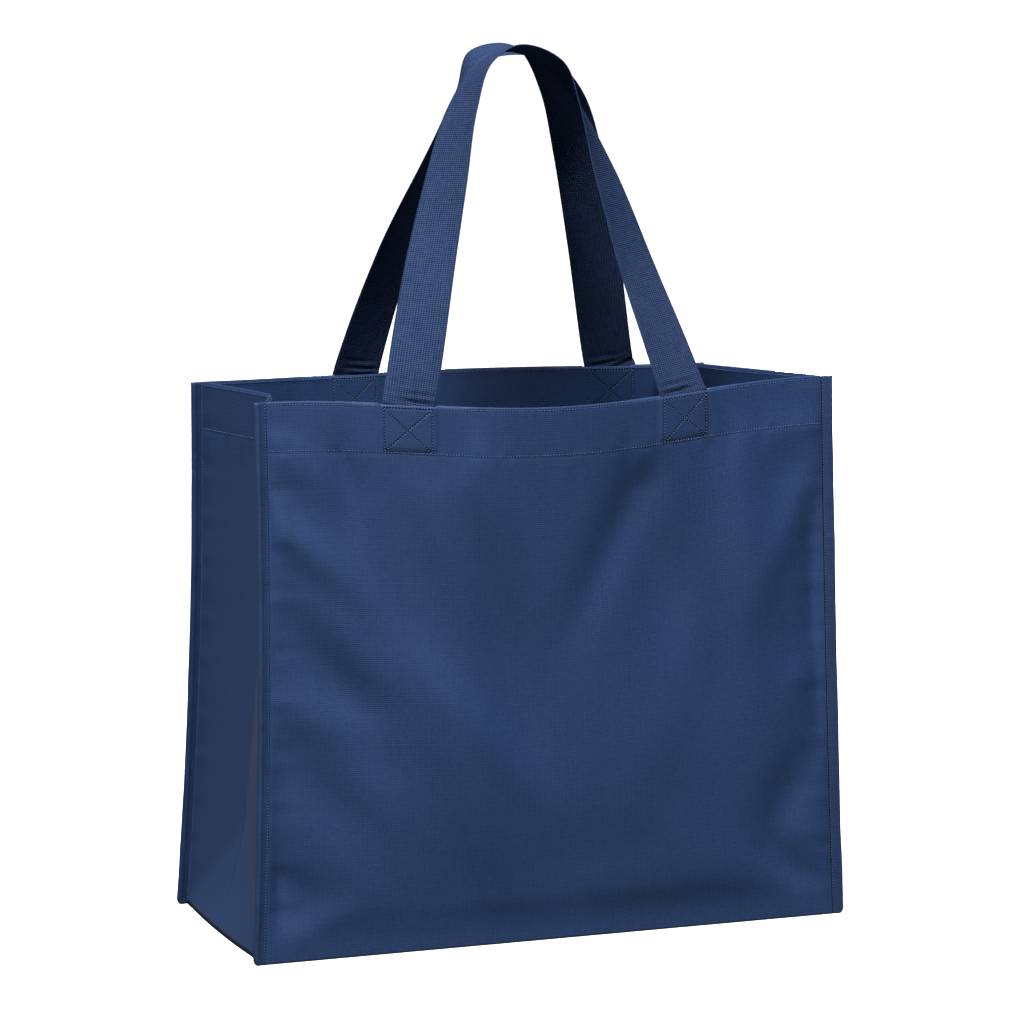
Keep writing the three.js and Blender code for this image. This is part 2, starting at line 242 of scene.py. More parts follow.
def new_sheet(name: str, points: Array, uv: Array, sewing: Array, thickness: float,
              material: bpy.types.Material, keep: Array | None = None) -> bpy.types.Object:
    """A sheet of cloth from a grid of points on its middle layer, thickened both ways.

    Args:
        name: Name of the piece.
        points: Grid of points, rows by columns by 3, in millimetres.
        uv: Grid of flat cloth coordinates, in millimetres.
        sewing: Grid of distances from the nearest webbing end's middle, below the mouth edge and
            from the nearest seam, in millimetres, which the finish reads for its stitch channels.
        thickness: Cloth thickness in millimetres.
        material: Its finish.
        keep: For each quad of the grid, whether the cloth is there. Without it, all of it is.

    Returns:
        The new object.
    """
    rows, columns = points.shape[:2]
    quads = grid_quads(rows, columns)
    if keep is not None:
        quads = quads[keep.ravel()]
    used, numbered = np.unique(quads, return_inverse=True)
    piece = new_piece(name, points.reshape(-1, 3)[used], numbered.reshape(-1, 4).tolist(),
                      uv.reshape(-1, 2)[used], material)
    layer = piece.data.attributes.new("sewing", "FLOAT_VECTOR", "POINT")
    layer.data.foreach_set("vector", sewing.reshape(-1, 3)[used].astype(np.float32).ravel())
    solidify = piece.modifiers.new("cloth_thickness", "SOLIDIFY")
    solidify.thickness = thickness * MM
    solidify.offset = 0.0
    solidify.use_even_offset = False
    return piece


def new_tube(name: str, points: Array, uv: Array, material: bpy.types.Material) -> bpy.types.Object:
    """A closed piece from rings of points, with a flat cap at each end.

    Args:
        name: Name of the piece.
        points: Rings by points by 3, in millimetres.
        uv: Flat coordinates of the same points.
        material: Its finish.

    Returns:
        The new object.
    """
    rows, columns = points.shape[:2]
    flat = points.reshape(-1, 3)
    quads = grid_quads(rows, columns, wraps=True)
    first = list(range(columns))[::-1]
    last = [(rows - 1) * columns + i for i in range(columns)]
    faces = quads.tolist() + [first, last]
    if inside_out(flat - flat.mean(axis=0), quads):
        faces = [face[::-1] for face in faces]
    return new_piece(name, flat, faces, uv.reshape(-1, 2), material)


# ---- The shape of the bag ----------------------------------------------------------------------


@dataclass(frozen=True)
class SoftFold:
    """A long low mound of a wall, in millimetres and degrees from upright."""

    across: float
    up: float
    lean: float
    length: float
    width: float
    depth: float

    def height(self, x: Array, z: Array) -> Array:
        """Depth times e to minus the squares of the place along and beside the fold's line.

        Args:
            x: Places across the wall.
            z: Places up the wall.

        Returns:
            How far the wall stands out there.
        """
        turn = math.radians(self.lean)
        dx, dz = x - self.across, z - self.up
        along = dx * math.sin(turn) - dz * math.cos(turn)
        beside = dx * math.cos(turn) + dz * math.sin(turn)
        return self.depth * mound(along, self.length) * mound(beside, self.width)


@dataclass(frozen=True)
class Handle:
    """One webbing handle: its feet on the mouth edge, its crown and its run between them."""

    face: Face
    spacing: float
    centre: float
    crown_rise: float
    crown_shift: float
    drop_power: float
    lean_power: float
    left_spread: tuple[float, ...]
    right_spread: tuple[float, ...]
    left_twist: tuple[float, ...]
    right_twist: tuple[float, ...]

    def foot(self, side: int) -> float:
        """X of the middle of one foot."""
        return self.centre + side * self.spacing / 2

    def beside(self, x: Array) -> Array:
        """Distances from the middle of the nearest foot, less than 0 between the feet."""
        return np.abs(x - self.centre) - self.spacing / 2


FRONT_HANDLE = Handle(
    face=Face.FRONT, spacing=208, centre=-1, crown_rise=241, crown_shift=-3, drop_power=1.9, lean_power=2.7,
    left_spread=(0, 0.226, 0.4, 0.56, 0.76, 1), right_spread=(0, 0.29, 0.47, 0.62, 0.79, 1),
    left_twist=(0, 2, 19, 38, 60, 90), right_twist=(0, 2, 24, 51, 71, 90),
)
BACK_HANDLE = Handle(
    face=Face.BACK, spacing=198, centre=9, crown_rise=238.5, crown_shift=-2, drop_power=2.2, lean_power=2,
    left_spread=(0, 0.27, 0.38, 0.5, 0.75, 1), right_spread=(0, 0.24, 0.44, 0.61, 0.79, 1),
    left_twist=(0, 7, 26, 50, 72, 90), right_twist=(0, 24, 43, 60, 75, 90),
)

FRONT_FOLDS = (
    SoftFold(-72, 272, 18, 80, 17, 3.3), SoftFold(-150, 340, 6, 48, 13, -3.0),
    SoftFold(-212, 89, 3, 96, 20, -4.4), SoftFold(214, 215, 1, 98, 16, -5.0),
    SoftFold(156, 271, 3, 97, 22, 4.4), SoftFold(-67, 126, 18, 85, 23, 4.1),
    SoftFold(-35, 206, 18, 98, 20, -3.7), SoftFold(-56, 340, 14, 80, 17, 3.6),
    SoftFold(-160, 193, 32, 62, 19, -4.3), SoftFold(-140, 215, 45, 95, 18, 2.3),
    SoftFold(77, 268, 15, 74, 19, -2.7), SoftFold(53, 300, -26, 81, 17, -3.7),
    SoftFold(-170, 116, 39, 54, 20, -3.0), SoftFold(98, 184, -22, 92, 24, 1.5),
    SoftFold(-192, 302, 48, 59, 13, 4.1), SoftFold(185, 94, -23, 39, 18, -4.1),
    SoftFold(102, 64, 62, 96, 24, 1.2), SoftFold(195, 304, -28, 72, 15, 2.6),
    SoftFold(-78, 180, 41, 83, 14, 2.4), SoftFold(-199, 362, 54, 50, 15, 2.2),
    SoftFold(201, 366, -71, 34, 20, 2.2), SoftFold(0, 112, 90, 260, 85, 4.5),
    SoftFold(78, 39, 91, 69, 22, 1.5), SoftFold(-206, 58, 62, 46, 14, -2.4),
    SoftFold(-166, 171, 69, 54, 16, 1.8), SoftFold(188, 38, 44, 29, 14, -3.3),
    SoftFold(-186, 20, -65, 42, 13, 1.8), SoftFold(-189, 27, 64, 23, 13, -1.8),
    SoftFold(201, 182, -42, 27, 13, 1.4),
)
BACK_FOLDS = (
    SoftFold(148, 352, -4, 60, 13, 9), SoftFold(-92, 268, 28, 84, 17, 5),
    SoftFold(40, 258, -30, 74, 16, -4), SoftFold(-178, 214, 52, 46, 12, -3.5),
    SoftFold(-178, 146, 58, 38, 11, 3), SoftFold(182, 196, -48, 46, 12, -3.5),
    SoftFold(-182, 34, -58, 34, 10, 3), SoftFold(182, 36, 55, 34, 10, 3),
)


@dataclass(frozen=True)
class SewnRelief:
    """Small forms that sewing makes in the cloth, in millimetres."""

    pucker_waves: Waves = ((23, 1, 1), (14.3, 0.7, 2.1), (37, 0.5, 3.3))
    gusset_waves: Waves = ((26, 1, 1), (15.1, 0.7, 2.4))
    gather_waves: Waves = ((21, 1, 1), (13.7, 0.8, 2), (34, 0.6, 0))
    left_phase: float = 0.7
    right_phase: float = 2.9
    pucker_height: float = 0.30
    pucker_reach: float = 12
    pucker_start: float = 3
    seam_groove: float = 0.45
    seam_groove_width: float = 1.5
    gather_height: float = 0.22
    gather_reach: float = 13
    gather_start: float = 3
    row_groove: float = 0.12
    row_groove_width: float = 1.2
    edge_line: float = 2.2
    edge_groove_width: float = 0.9
    gusset_groove: float = 0.14
    gusset_gather: float = 0.2
    gusset_gather_length: float = 17
    gusset_gather_reach: float = 10
    boss_height: float = 0.55
    boss_margin: float = 1.6
    boss_side_ramp: float = 2.2
    boss_low_ramp: float = 2.4

    def pucker(self, waves: Waves, z: Array, phase: float, distance: Array) -> Array:
        """Sines up a seam, which are nothing at it and die away from it as e to minus the distance.

        Args:
            waves: Length, height and share of the phase of each sine.
            z: Heights.
            phase: Turn that sets this seam's sines against the others.
            distance: Distances from the seam.

        Returns:
            How far the cloth stands out there.
        """
        fading = self.pucker_height * ripple(z, phase, waves) * np.exp(-distance / self.pucker_reach)
        return fading * (1 - np.exp(-distance / self.pucker_start))


@dataclass(frozen=True)
class BagShape:
    """The settled form of the whole bag, in millimetres, which every piece is laid on."""

    base_width: float = 440
    base_depth: float = 197
    height: float = 398
    mouth_width: float = 425.5
    mouth_depth: float = 147
    mouth_shift: float = 4
    mouth_set_forward: float = 1.5
    seam_flare: float = 2.2
    front_sag: float = 11
    wall_bow: float = 18
    bow_power: float = 1.5
    pull_power: float = 3
    bottom_radius: float = 1.6
    hem_depth: float = 35.5
    hem_step: float = 1.2
    pocket_step: float = 3.0
    pocket_half_width: float = 34
    pocket_ramp: float = 16
    webbing_width: float = 38
    webbing_in_hem: float = 32
    edge_fade: float = 10
    mouth_hold: float = 0.15
    mouth_reach: float = 45
    pocket_end: float = 31
    pocket_fade: float = 36
    ground_fade: float = 6
    ground_reach: float = 30
    left_fold_low: float = 11
    left_fold_top: float = 19
    right_fold_low: float = 14
    right_fold_top: float = 6
    triangle_height: float = 99.98
    crease_softness: float = 0.03
    crease_in_triangle: float = 1.1
    foot_bow: float = 3.2
    crease_line: float = 0.8
    crease_line_width: float = 1.3
    crease_line_fade: float = 6
    crease_line_end: float = 1.05
    crease_roundness: float = 0.05
    mouth_roundness: float = 0.22
    crease_at_ground: float = 0.55
    crease_left_mouth: float = 0.34
    crease_right_mouth: float = 0.66
    layer_step: float = 1.1
    corner_drop: dict = field(default_factory=lambda: {(-1, -1): 0, (1, -1): -1, (-1, 1): 2, (1, 1): 4})
    pulled_in: dict = field(default_factory=lambda: {(-1, -1): 0, (1, -1): 0, (-1, 1): -3.5, (1, 1): 42})
    sewn: SewnRelief = SewnRelief()

    def seam(self, side: int, face: int, z: Array) -> Array:
        """A seam line: it flares quickly above the ground and a pulled-in corner moves near the mouth.

        X is half the base width, plus the drift to the mouth times one minus the falling share to
        the power of the flare, less the corner's pull times the share to the power of the pull.
        Y goes straight from half the base depth to half the mouth depth.

        Args:
            side: -1 at the left, 1 at the right.
            face: -1 at the front, 1 at the back.
            z: Heights.

        Returns:
            Points of the seam.
        """
        z = np.asarray(z, dtype=float)
        share = z / self.height
        flare = 1 - (1 - np.clip(share, 0, 1)) ** self.seam_flare
        drift = side * (self.mouth_width - self.base_width) / 2 + self.mouth_shift
        pulled = side * self.pulled_in[(side, face)] * np.sign(share) * np.abs(share) ** self.pull_power
        x = side * self.base_width / 2 + drift * flare - pulled
        y = face * mix(self.base_depth, self.mouth_depth, share) / 2 - self.mouth_set_forward * share
        return np.stack([x, y, z], axis=-1)

    def seam_top(self, side: int, face: int) -> float:
        """Height of the mouth at a corner."""
        return self.height - self.corner_drop[(side, face)]

    def gusset_top(self, side: int, share: Array) -> Array:
        """Height of the mouth edge of a gusset: straight between its corners."""
        return mix(self.seam_top(side, -1), self.seam_top(side, 1), share)

    def wall_top(self, face: int, across: Array) -> Array:
        """Height of the mouth edge of a wall: straight between corners, less sag times sine squared."""
        sag = self.front_sag if face < 0 else 0.0
        level = mix(self.seam_top(-1, face), self.seam_top(1, face), across)
        return level - sag * np.sin(np.pi * across) ** 2

    def handle(self, face: int) -> Handle:
        """The handle that is sewn to a wall."""
        return FRONT_HANDLE if face < 0 else BACK_HANDLE

    def pocket_share(self, face: int, x: Array) -> Array:
        """1 where the hem is opened for a webbing end, easing to 0 beside it."""
        beside = np.abs(self.handle(face).beside(x))
        return 1 - ease((beside - self.pocket_half_width) / self.pocket_ramp)

    def hem_gap(self, face: int, x: Array) -> Array:
        """Distance from the outer layer of a hem to its turned-in layer."""
        return mix(self.hem_step, self.pocket_step, self.pocket_share(face, x))

    def webbing_boss(self, face: int, x: Array, below: Array) -> Array:
        """1 where a webbing end lies under the cloth, falling to 0 over a millimetre or two round it."""
        sewn, beside = self.sewn, np.abs(self.handle(face).beside(x))
        over = ease((self.webbing_width / 2 + sewn.boss_margin - beside) / sewn.boss_side_ramp)
        return over * ease((self.webbing_in_hem + sewn.boss_margin - below) / sewn.boss_low_ramp)

    def relief(self, face: int, x: Array, z: Array, below: Array, from_left: Array,
               from_right: Array) -> Array:
        """Small forms of a sewn wall: puckers, gathers, stitch grooves and the webbing end showing through.

        Gathers are sines across the wall that die away from the hem's stitching. Grooves are bells.

        Args:
            face: -1 at the front, 1 at the back.
            x: Places across the wall.
            z: Heights.
            below: Distances below the mouth edge.
            from_left: Distances from the left seam.
            from_right: Distances from the right seam.

        Returns:
            How far the wall stands out there.
        """
        sewn, total = self.sewn, 0.0
        for distance, phase in ((from_left, sewn.left_phase), (from_right, sewn.right_phase)):
            total = total + sewn.pucker(sewn.pucker_waves, z, phase, distance)
            total = total - sewn.seam_groove * mound(distance, sewn.seam_groove_width)
        lower = below - self.hem_depth
        gather = sewn.gather_height * ripple(x, face, sewn.gather_waves)
        gather = gather * np.exp(-np.abs(lower) / sewn.gather_reach)
        total = total + gather * (1 - mound(lower, sewn.gather_start))
        total = total - sewn.row_groove * mound(lower, sewn.row_groove_width)
        total = total - sewn.row_groove * mound(below - sewn.edge_line, sewn.edge_groove_width)
        return total + sewn.boss_height * self.webbing_boss(face, x, below)

    def wall(self, face: int, across: Array, z: Array) -> Array:
        """A point of a wide wall.

        X is straight between the seams. Y is straight between them, plus the bow times sine squared
        across and the height share to a power, plus the soft folds and the small relief, both eased
        out at the seams and the ground.

        Args:
            face: -1 at the front, 1 at the back.
            across: 0 at the left seam, 1 at the right one.
            z: Heights.

        Returns:
            Points of the middle layer of the cloth.
        """
        top = self.wall_top(face, across)
        share = z / top
        left = self.seam(-1, face, share * self.seam_top(-1, face))
        right = self.seam(1, face, share * self.seam_top(1, face))
        x = mix(left[..., 0], right[..., 0], across)
        bow = self.wall_bow * np.sin(np.pi * across) ** 2 * np.sign(share) * np.abs(share) ** self.bow_power
        from_left, from_right = x - left[..., 0], right[..., 0] - x
        below = top - z
        in_hem = 1 - ease((below - self.pocket_end) / self.pocket_fade)
        settled = ease((z - self.ground_fade) / self.ground_reach)
        fade = ease(np.minimum(from_left, from_right) / self.edge_fade) * settled
        fade = fade * (1 - in_hem * self.pocket_share(face, x))
        fade = fade * mix(self.mouth_hold, 1, ease(below / self.mouth_reach))
        folds = sum(fold.height(x, z) for fold in (FRONT_FOLDS if face < 0 else BACK_FOLDS))
        small = self.relief(face, x, z, below, from_left, from_right) * settled
        y = mix(left[..., 1], right[..., 1], across) + face * (bow + folds * fade + small)
        return np.stack([x, y, z], axis=-1)

    def outer(self, face: int, across: Array, below: Array) -> Array:
        """Outer layer of a wall, a distance below the mouth edge."""
        return self.wall(face, across, self.wall_top(face, across) - below)

    def inner(self, face: int, across: Array, below: Array) -> Array:
        """Turned-in layer of a wall's hem: the outer layer moved inward by the hem's gap."""
        point = self.outer(face, across, below)
        x = point[..., 0]
        point[..., 1] -= face * (self.hem_gap(face, x) + self.webbing_boss(face, x, below))
        return point

    def sewing(self, face: int, points: Array) -> Array:
        """Distances that place the stitching of a wall.

        Args:
            face: -1 at the front, 1 at the back.
            points: Points of the wall or of its hem.

        Returns:
            For each point the distance from the nearest webbing end's middle, the distance below
            the mouth edge and the distance from the nearest seam.
        """
        x, z = points[..., 0], points[..., 2]
        left, right = self.seam(-1, face, z)[..., 0], self.seam(1, face, z)[..., 0]
        across = np.clip((x - left) / (right - left), 0, 1)
        below, from_seam = self.wall_top(face, across) - z, np.minimum(x - left, right - x)
        return np.stack([self.handle(face).beside(x), below, from_seam], axis=-1)

    def across_at(self, face: int, x: float | Array) -> float | Array:
        """Share across a wall at a place near the mouth."""
        left = self.seam(-1, face, self.height)[0]
        right = self.seam(1, face, self.height)[0]
        return (x - left) / (right - left)

    def across_below(self, face: int, x: Array, below: Array) -> Array:
        """Share across a wall at a place and a distance below the mouth edge."""
        left = self.seam(-1, face, self.seam_top(-1, face) - below)[..., 0]
        right = self.seam(1, face, self.seam_top(1, face) - below)[..., 0]
        return (x - left) / (right - left)

    def crease_share(self, side: int, z: Array) -> Array:
        """Where the gusset's crease stands: the share of the way from its front seam to its back one."""
        at_mouth = self.crease_left_mouth if side < 0 else self.crease_right_mouth
        return mix(self.crease_at_ground, at_mouth, np.clip(z / self.height, 0, 1))

    def pushed_in(self, side: int, share: Array, z: Array) -> Array:
        """How far a gusset is pushed in.

        It is the smooth least of a tent across and a slope up, times the depth at that height,
        less the foot's bow. The smooth least of two values is half of their sum less the root of
        the squares of their difference and of a softness.

        Args:
            side: -1 at the left, 1 at the right.
            share: 0 at the front seam, 1 at the back one.
            z: Heights.

        Returns:
            The distance from the plane between the seams.
        """
        crease = self.crease_share(side, z)
        front, back = share / crease, (1 - share) / (1 - crease)
        round_by = mix(self.crease_roundness, self.mouth_roundness, np.clip(z / self.height, 0, 1) ** 3)
        tent = (front + back - np.hypot(front - back, round_by)) / (2 - round_by)
        up = z / self.triangle_height
        slope = up * (1 + self.crease_in_triangle * tent * np.clip(1 - up, 0, 1))
        least = (tent + slope - np.hypot(tent - slope, self.crease_softness)) / 2
        low, high = ((self.left_fold_low, self.left_fold_top) if side < 0
                     else (self.right_fold_low, self.right_fold_top))
        depth = mix(low, high, ease(z / self.height))
        foot = self.foot_bow * np.sin(np.pi * np.clip(share, 0, 1)) * np.clip(1 - up, 0, 1) ** 2
        return np.maximum(least, 0) * depth - foot

    def gusset(self, side: int, share: Array, z: Array) -> Array:
        """A point of a gusset: straight between its seams, pushed in, with puckers beside the seams.

        Args:
            side: -1 at the left, 1 at the right.
            share: 0 at the front seam, 1 at the back one.
            z: Heights.

        Returns:
            Points of the middle layer of the cloth.
        """
        top = self.gusset_top(side, share)
        height = z / top
        front = self.seam(side, -1, height * self.seam_top(side, -1))
        back = self.seam(side, 1, height * self.seam_top(side, 1))
        y = mix(front[..., 1] + self.layer_step, back[..., 1] - self.layer_step, share)
        sewn, lower = self.sewn, top - z - self.hem_depth
        settled = ease((z - self.ground_fade) / self.ground_reach)
        from_seam = np.minimum(y - front[..., 1], back[..., 1] - y)
        small = sewn.pucker(sewn.gusset_waves, z, side, from_seam) * settled
        small = small - sewn.gusset_groove * mound(lower, sewn.row_groove_width)
        gather = sewn.gusset_gather * np.sin(2 * np.pi * y / sewn.gusset_gather_length)
        small = small + gather * np.exp(-np.abs(lower) / sewn.gusset_gather_reach)
        from_crease = (share - self.crease_share(side, z)) * (back[..., 1] - front[..., 1])
        line = self.crease_line * mound(from_crease, self.crease_line_width)
        small = small - line * ease(self.crease_line_fade * (self.crease_line_end - z / self.triangle_height))
        x = mix(front[..., 0], back[..., 0], share) - side * (self.pushed_in(side, share, z) - small)
        return np.stack([x, y, np.broadcast_to(z, x.shape)], axis=-1)


# ---- Finishes ----------------------------------------------------------------------------------


class Graph:
    """A node tree with short ways to add and join nodes."""

    def __init__(self, tree: bpy.types.NodeTree) -> None:
        """Keeps the tree and empties it."""
        self.tree = tree
        self.tree.nodes.clear()

    def add(self, kind: str, inputs: dict | None = None, **settings: object) -> bpy.types.Node:
        """A new node.

        Args:
            kind: Blender's node type.
            inputs: Socket name or number to a value or to another node's output.
            settings: Properties of the node.

        Returns:
            The node.
        """
        node = self.tree.nodes.new(kind)
        for key, value in settings.items():
            setattr(node, key, value)
        for key, value in (inputs or {}).items():
            if isinstance(value, bpy.types.NodeSocket):
                self.tree.links.new(value, node.inputs[key])
            else:
                node.inputs[key].default_value = value
        return node

    def math(self, operation: str, *values: object) -> bpy.types.NodeSocket:
        """The result of one number operation on values or sockets."""
        return self.add("ShaderNodeMath", dict(enumerate(values)), operation=operation).outputs[0]


WEAVE_SIZES = (("Across", 0.8), ("Along", 0.8), ("Check", 4.2), ("Slub Length", 7.0), ("Slub Width", 0.8))
CHECK_SHARPNESS = 14.0
SLUB_OFFSET = 3.7
CHANNEL_CORE = 0.15
CHANNEL_EDGE = 1.0


def weave_group() -> bpy.types.NodeTree:
    """The shared weave: rounded thread backs in a grid, coarser check lines, and slubs along the threads.

    A back is the absolute cosine across times the one along, so it is 1 on each thread crossing. A
    check line is a high power of the absolute cosine over the wider pitch. Tone is the mean of two
    noises, one drawn out along each thread.

    Returns:
        The node group, with inputs Place, Across, Along, Check, Slub Length and Slub Width, and
        outputs Height, Lines and Tone.
    """
    tree = bpy.data.node_groups.new("plain_weave", "ShaderNodeTree")
    face = tree.interface
    face.new_socket("Place", in_out="INPUT", socket_type="NodeSocketVector")
    for name, value in WEAVE_SIZES:
        face.new_socket(name, in_out="INPUT", socket_type="NodeSocketFloat").default_value = value
    for name in ("Height", "Lines", "Tone"):
        face.new_socket(name, in_out="OUTPUT", socket_type="NodeSocketFloat")
    graph = Graph(tree)
    entry = graph.add("NodeGroupInput").outputs
    place = graph.add("ShaderNodeSeparateXYZ", {0: entry["Place"]}).outputs

    def wave(axis: int, pitch: bpy.types.NodeSocket) -> bpy.types.NodeSocket:
        """Absolute cosine that peaks once in each pitch."""
        turn = graph.math("DIVIDE", graph.math("MULTIPLY", place[axis], math.pi), pitch)
        return graph.math("ABSOLUTE", graph.math("COSINE", turn))

    height = graph.math("MULTIPLY", wave(0, entry["Across"]), wave(1, entry["Along"]))
    checks = [graph.math("POWER", wave(axis, entry["Check"]), CHECK_SHARPNESS) for axis in (0, 1)]
    lines = graph.math("MAXIMUM", *checks)
    slubs = []
    for long_way in (0, 1):
        drawn = graph.math("DIVIDE", place[long_way], entry["Slub Length"])
        thin = graph.math("DIVIDE", place[1 - long_way], entry["Slub Width"])
        along = graph.add("ShaderNodeCombineXYZ", {0: drawn, 1: thin, 2: SLUB_OFFSET * long_way})
        noise = graph.add("ShaderNodeTexNoise", {"Vector": along.outputs[0], "Scale": 1.0, "Detail": 2.0})
        slubs.append(noise.outputs[0])
    tone = graph.math("MULTIPLY", graph.math("ADD", *slubs), 0.5)
    graph.add("NodeGroupOutput", {"Height": height, "Lines": lines, "Tone": tone})
    return tree


@dataclass(frozen=True)
class BoxStitch:
    """Where the stitching lies in the hem, in millimetres."""

    half_width: float = 17.2
    top: float = 3.4
    bottom: float = 34.2
    outward: float = 1.5
    hem_line: float = 34.5
    edge_line: float = 2.2


def channel_group() -> bpy.types.NodeTree:
    """The pressed channels that stitching leaves in cloth, from the distances that place it. The finish sinks
    its bump there and also paints shade into its colour there.

    A channel is 1 on its line and falls to 0 over its half width. The lines are the seam's and the
    crossed box's. The box is folded into one quarter by absolute values, so that its two diagonals
    are one line.

    Returns:
        The node group, with input Sewing and output Channel.
    """
    tree = bpy.data.node_groups.new("stitch_channels", "ShaderNodeTree")
    tree.interface.new_socket("Sewing", in_out="INPUT", socket_type="NodeSocketVector")
    tree.interface.new_socket("Channel", in_out="OUTPUT", socket_type="NodeSocketFloat")
    graph = Graph(tree)
    entry = graph.add("NodeGroupInput").outputs
    beside, below, from_seam = graph.add("ShaderNodeSeparateXYZ", {0: entry["Sewing"]}).outputs
    box = BoxStitch()
    middle = (box.top + box.bottom) / 2
    half_height = (box.bottom - box.top) / 2
    across = graph.math("ABSOLUTE", graph.math("SUBTRACT", beside, box.outward))
    up = graph.math("ABSOLUTE", graph.math("SUBTRACT", below, middle))
    slope = math.hypot(box.half_width, half_height)
    lean = graph.math("SUBTRACT", graph.math("MULTIPLY", across, half_height / slope),
                      graph.math("MULTIPLY", up, box.half_width / slope))
    past = graph.math("MAXIMUM", graph.math("SUBTRACT", across, box.half_width),
                      graph.math("SUBTRACT", up, half_height))
    border = graph.math("ABSOLUTE", past)
    inside = graph.math("MAXIMUM", graph.math("ABSOLUTE", lean), past)
    nearest = graph.math("MINIMUM", border, inside)
    nearest = graph.math("MINIMUM", nearest, graph.math("ABSOLUTE", from_seam))
    channel = graph.add("ShaderNodeMapRange", {
        "Value": nearest, "From Min": CHANNEL_CORE, "From Max": CHANNEL_EDGE, "To Min": 1.0, "To Max": 0.0,
    }, interpolation_type="SMOOTHSTEP")
    graph.add("NodeGroupOutput", {"Channel": channel.outputs[0]})
    return tree


@dataclass(frozen=True)
class WovenFinish:
    """A woven fabric: two shades of its thread colour, the scale of its weave and its sheen. Its colour is
    painted lighter on the raised thread backs and darker between them, and darker along the stitch channels,
    as painted light and shade.
    """

    name: str
    shade: tuple[float, float, float]
    light: tuple[float, float, float]
    across: float
    along: float
    slub_length: float
    slub_width: float
    tone_from: float
    tone_to: float
    # How strongly the weave's height sets the colour: painted light on the raised thread backs, painted shade
    # between them.
    painted_weave_light: float
    line_tone: float
    bump: float
    slub_bump: float
    roughness: tuple[float, float]
    specular: float
    sheen: float
    # How much the stitch channels darken the colour, as painted shade in the groove.
    channel_painted_shade: float = 0.0
    channel_depth: float = 0.0
    broad_scale: float = 0.012
    broad_share: float = 0.5
    dot_middle: float = 0.4
    sheen_roughness: float = 0.45
    sheen_tint: tuple[float, float, float] = (0.55, 0.68, 1.0)

    def material(self, weave: bpy.types.NodeTree, channels: bpy.types.NodeTree) -> bpy.types.Material:
        """The finish as a material.

        Args:
            weave: The shared weave group.
            channels: The stitch channel group.

        Returns:
            The material, which reads the piece's own UV map in millimetres.
        """
        made = bpy.data.materials.new(self.name)
        made.use_nodes = True
        graph = Graph(made.node_tree)
        flat = graph.add("ShaderNodeUVMap", uv_map="UVMap")
        cloth = graph.add("ShaderNodeGroup", node_tree=weave)
        graph.tree.links.new(flat.outputs[0], cloth.inputs["Place"])
        cloth.inputs["Across"].default_value = self.across
        cloth.inputs["Along"].default_value = self.along
        cloth.inputs["Slub Length"].default_value = self.slub_length
        cloth.inputs["Slub Width"].default_value = self.slub_width
        tone = graph.add("ShaderNodeMapRange", {"Value": cloth.outputs["Tone"], "From Min": self.tone_from,
                                                "From Max": self.tone_to}).outputs[0]
        broad = graph.add("ShaderNodeTexNoise", {"Vector": flat.outputs[0], "Scale": self.broad_scale,
                                                 "Detail": 3.0})
        patch = graph.math("SUBTRACT", broad.outputs[0], 0.5)
        # Painted light and shade: the colour follows the weave's height, so raised thread backs are painted
        # lighter and the gaps between them darker.
        painted_dot_light = graph.math("SUBTRACT", cloth.outputs["Height"], self.dot_middle)
        tone_with_painted_light_shade = graph.math("MULTIPLY_ADD", patch, self.broad_share, tone)
        tone_with_painted_light_shade = graph.math("MULTIPLY_ADD", painted_dot_light, self.painted_weave_light, tone_with_painted_light_shade)
        tone_with_painted_light_shade = graph.math("MULTIPLY_ADD", cloth.outputs["Lines"], self.line_tone, tone_with_painted_light_shade)
        relief = graph.math("MULTIPLY_ADD", cloth.outputs["Tone"], self.slub_bump, cloth.outputs["Height"])
        if self.channel_painted_shade:
            sewing = graph.add("ShaderNodeAttribute", attribute_name="sewing")
            channel = graph.add("ShaderNodeGroup", node_tree=channels)
            graph.tree.links.new(sewing.outputs["Vector"], channel.inputs[0])
            # Painted shade: the cloth's colour is darkened along the stitch channels, where shade would fall
            # in the groove.
            tone_with_painted_light_shade = graph.math("MULTIPLY_ADD", channel.outputs[0], -self.channel_painted_shade, tone_with_painted_light_shade)
            relief = graph.math("MULTIPLY_ADD", channel.outputs[0], -self.channel_depth / self.bump, relief)
        colour = graph.add("ShaderNodeMix", {0: tone_with_painted_light_shade, 6: (*self.shade, 1), 7: (*self.light, 1)},
                           data_type="RGBA")
        rough = graph.add("ShaderNodeMapRange", {"Value": cloth.outputs["Tone"], "To Min": self.roughness[0],
                                                 "To Max": self.roughness[1]})
        bump = graph.add("ShaderNodeBump", {"Height": relief, "Strength": 1.0, "Distance": self.bump * MM})
        shader = graph.add("ShaderNodeBsdfPrincipled", {
            "Base Color": colour.outputs[2], "Roughness": rough.outputs[0], "Normal": bump.outputs[0],
            "Specular IOR Level": self.specular, "Sheen Weight": self.sheen,
            "Sheen Roughness": self.sheen_roughness, "Sheen Tint": (*self.sheen_tint, 1),
        })
        graph.add("ShaderNodeOutputMaterial", {"Surface": shader.outputs[0]})
        return made


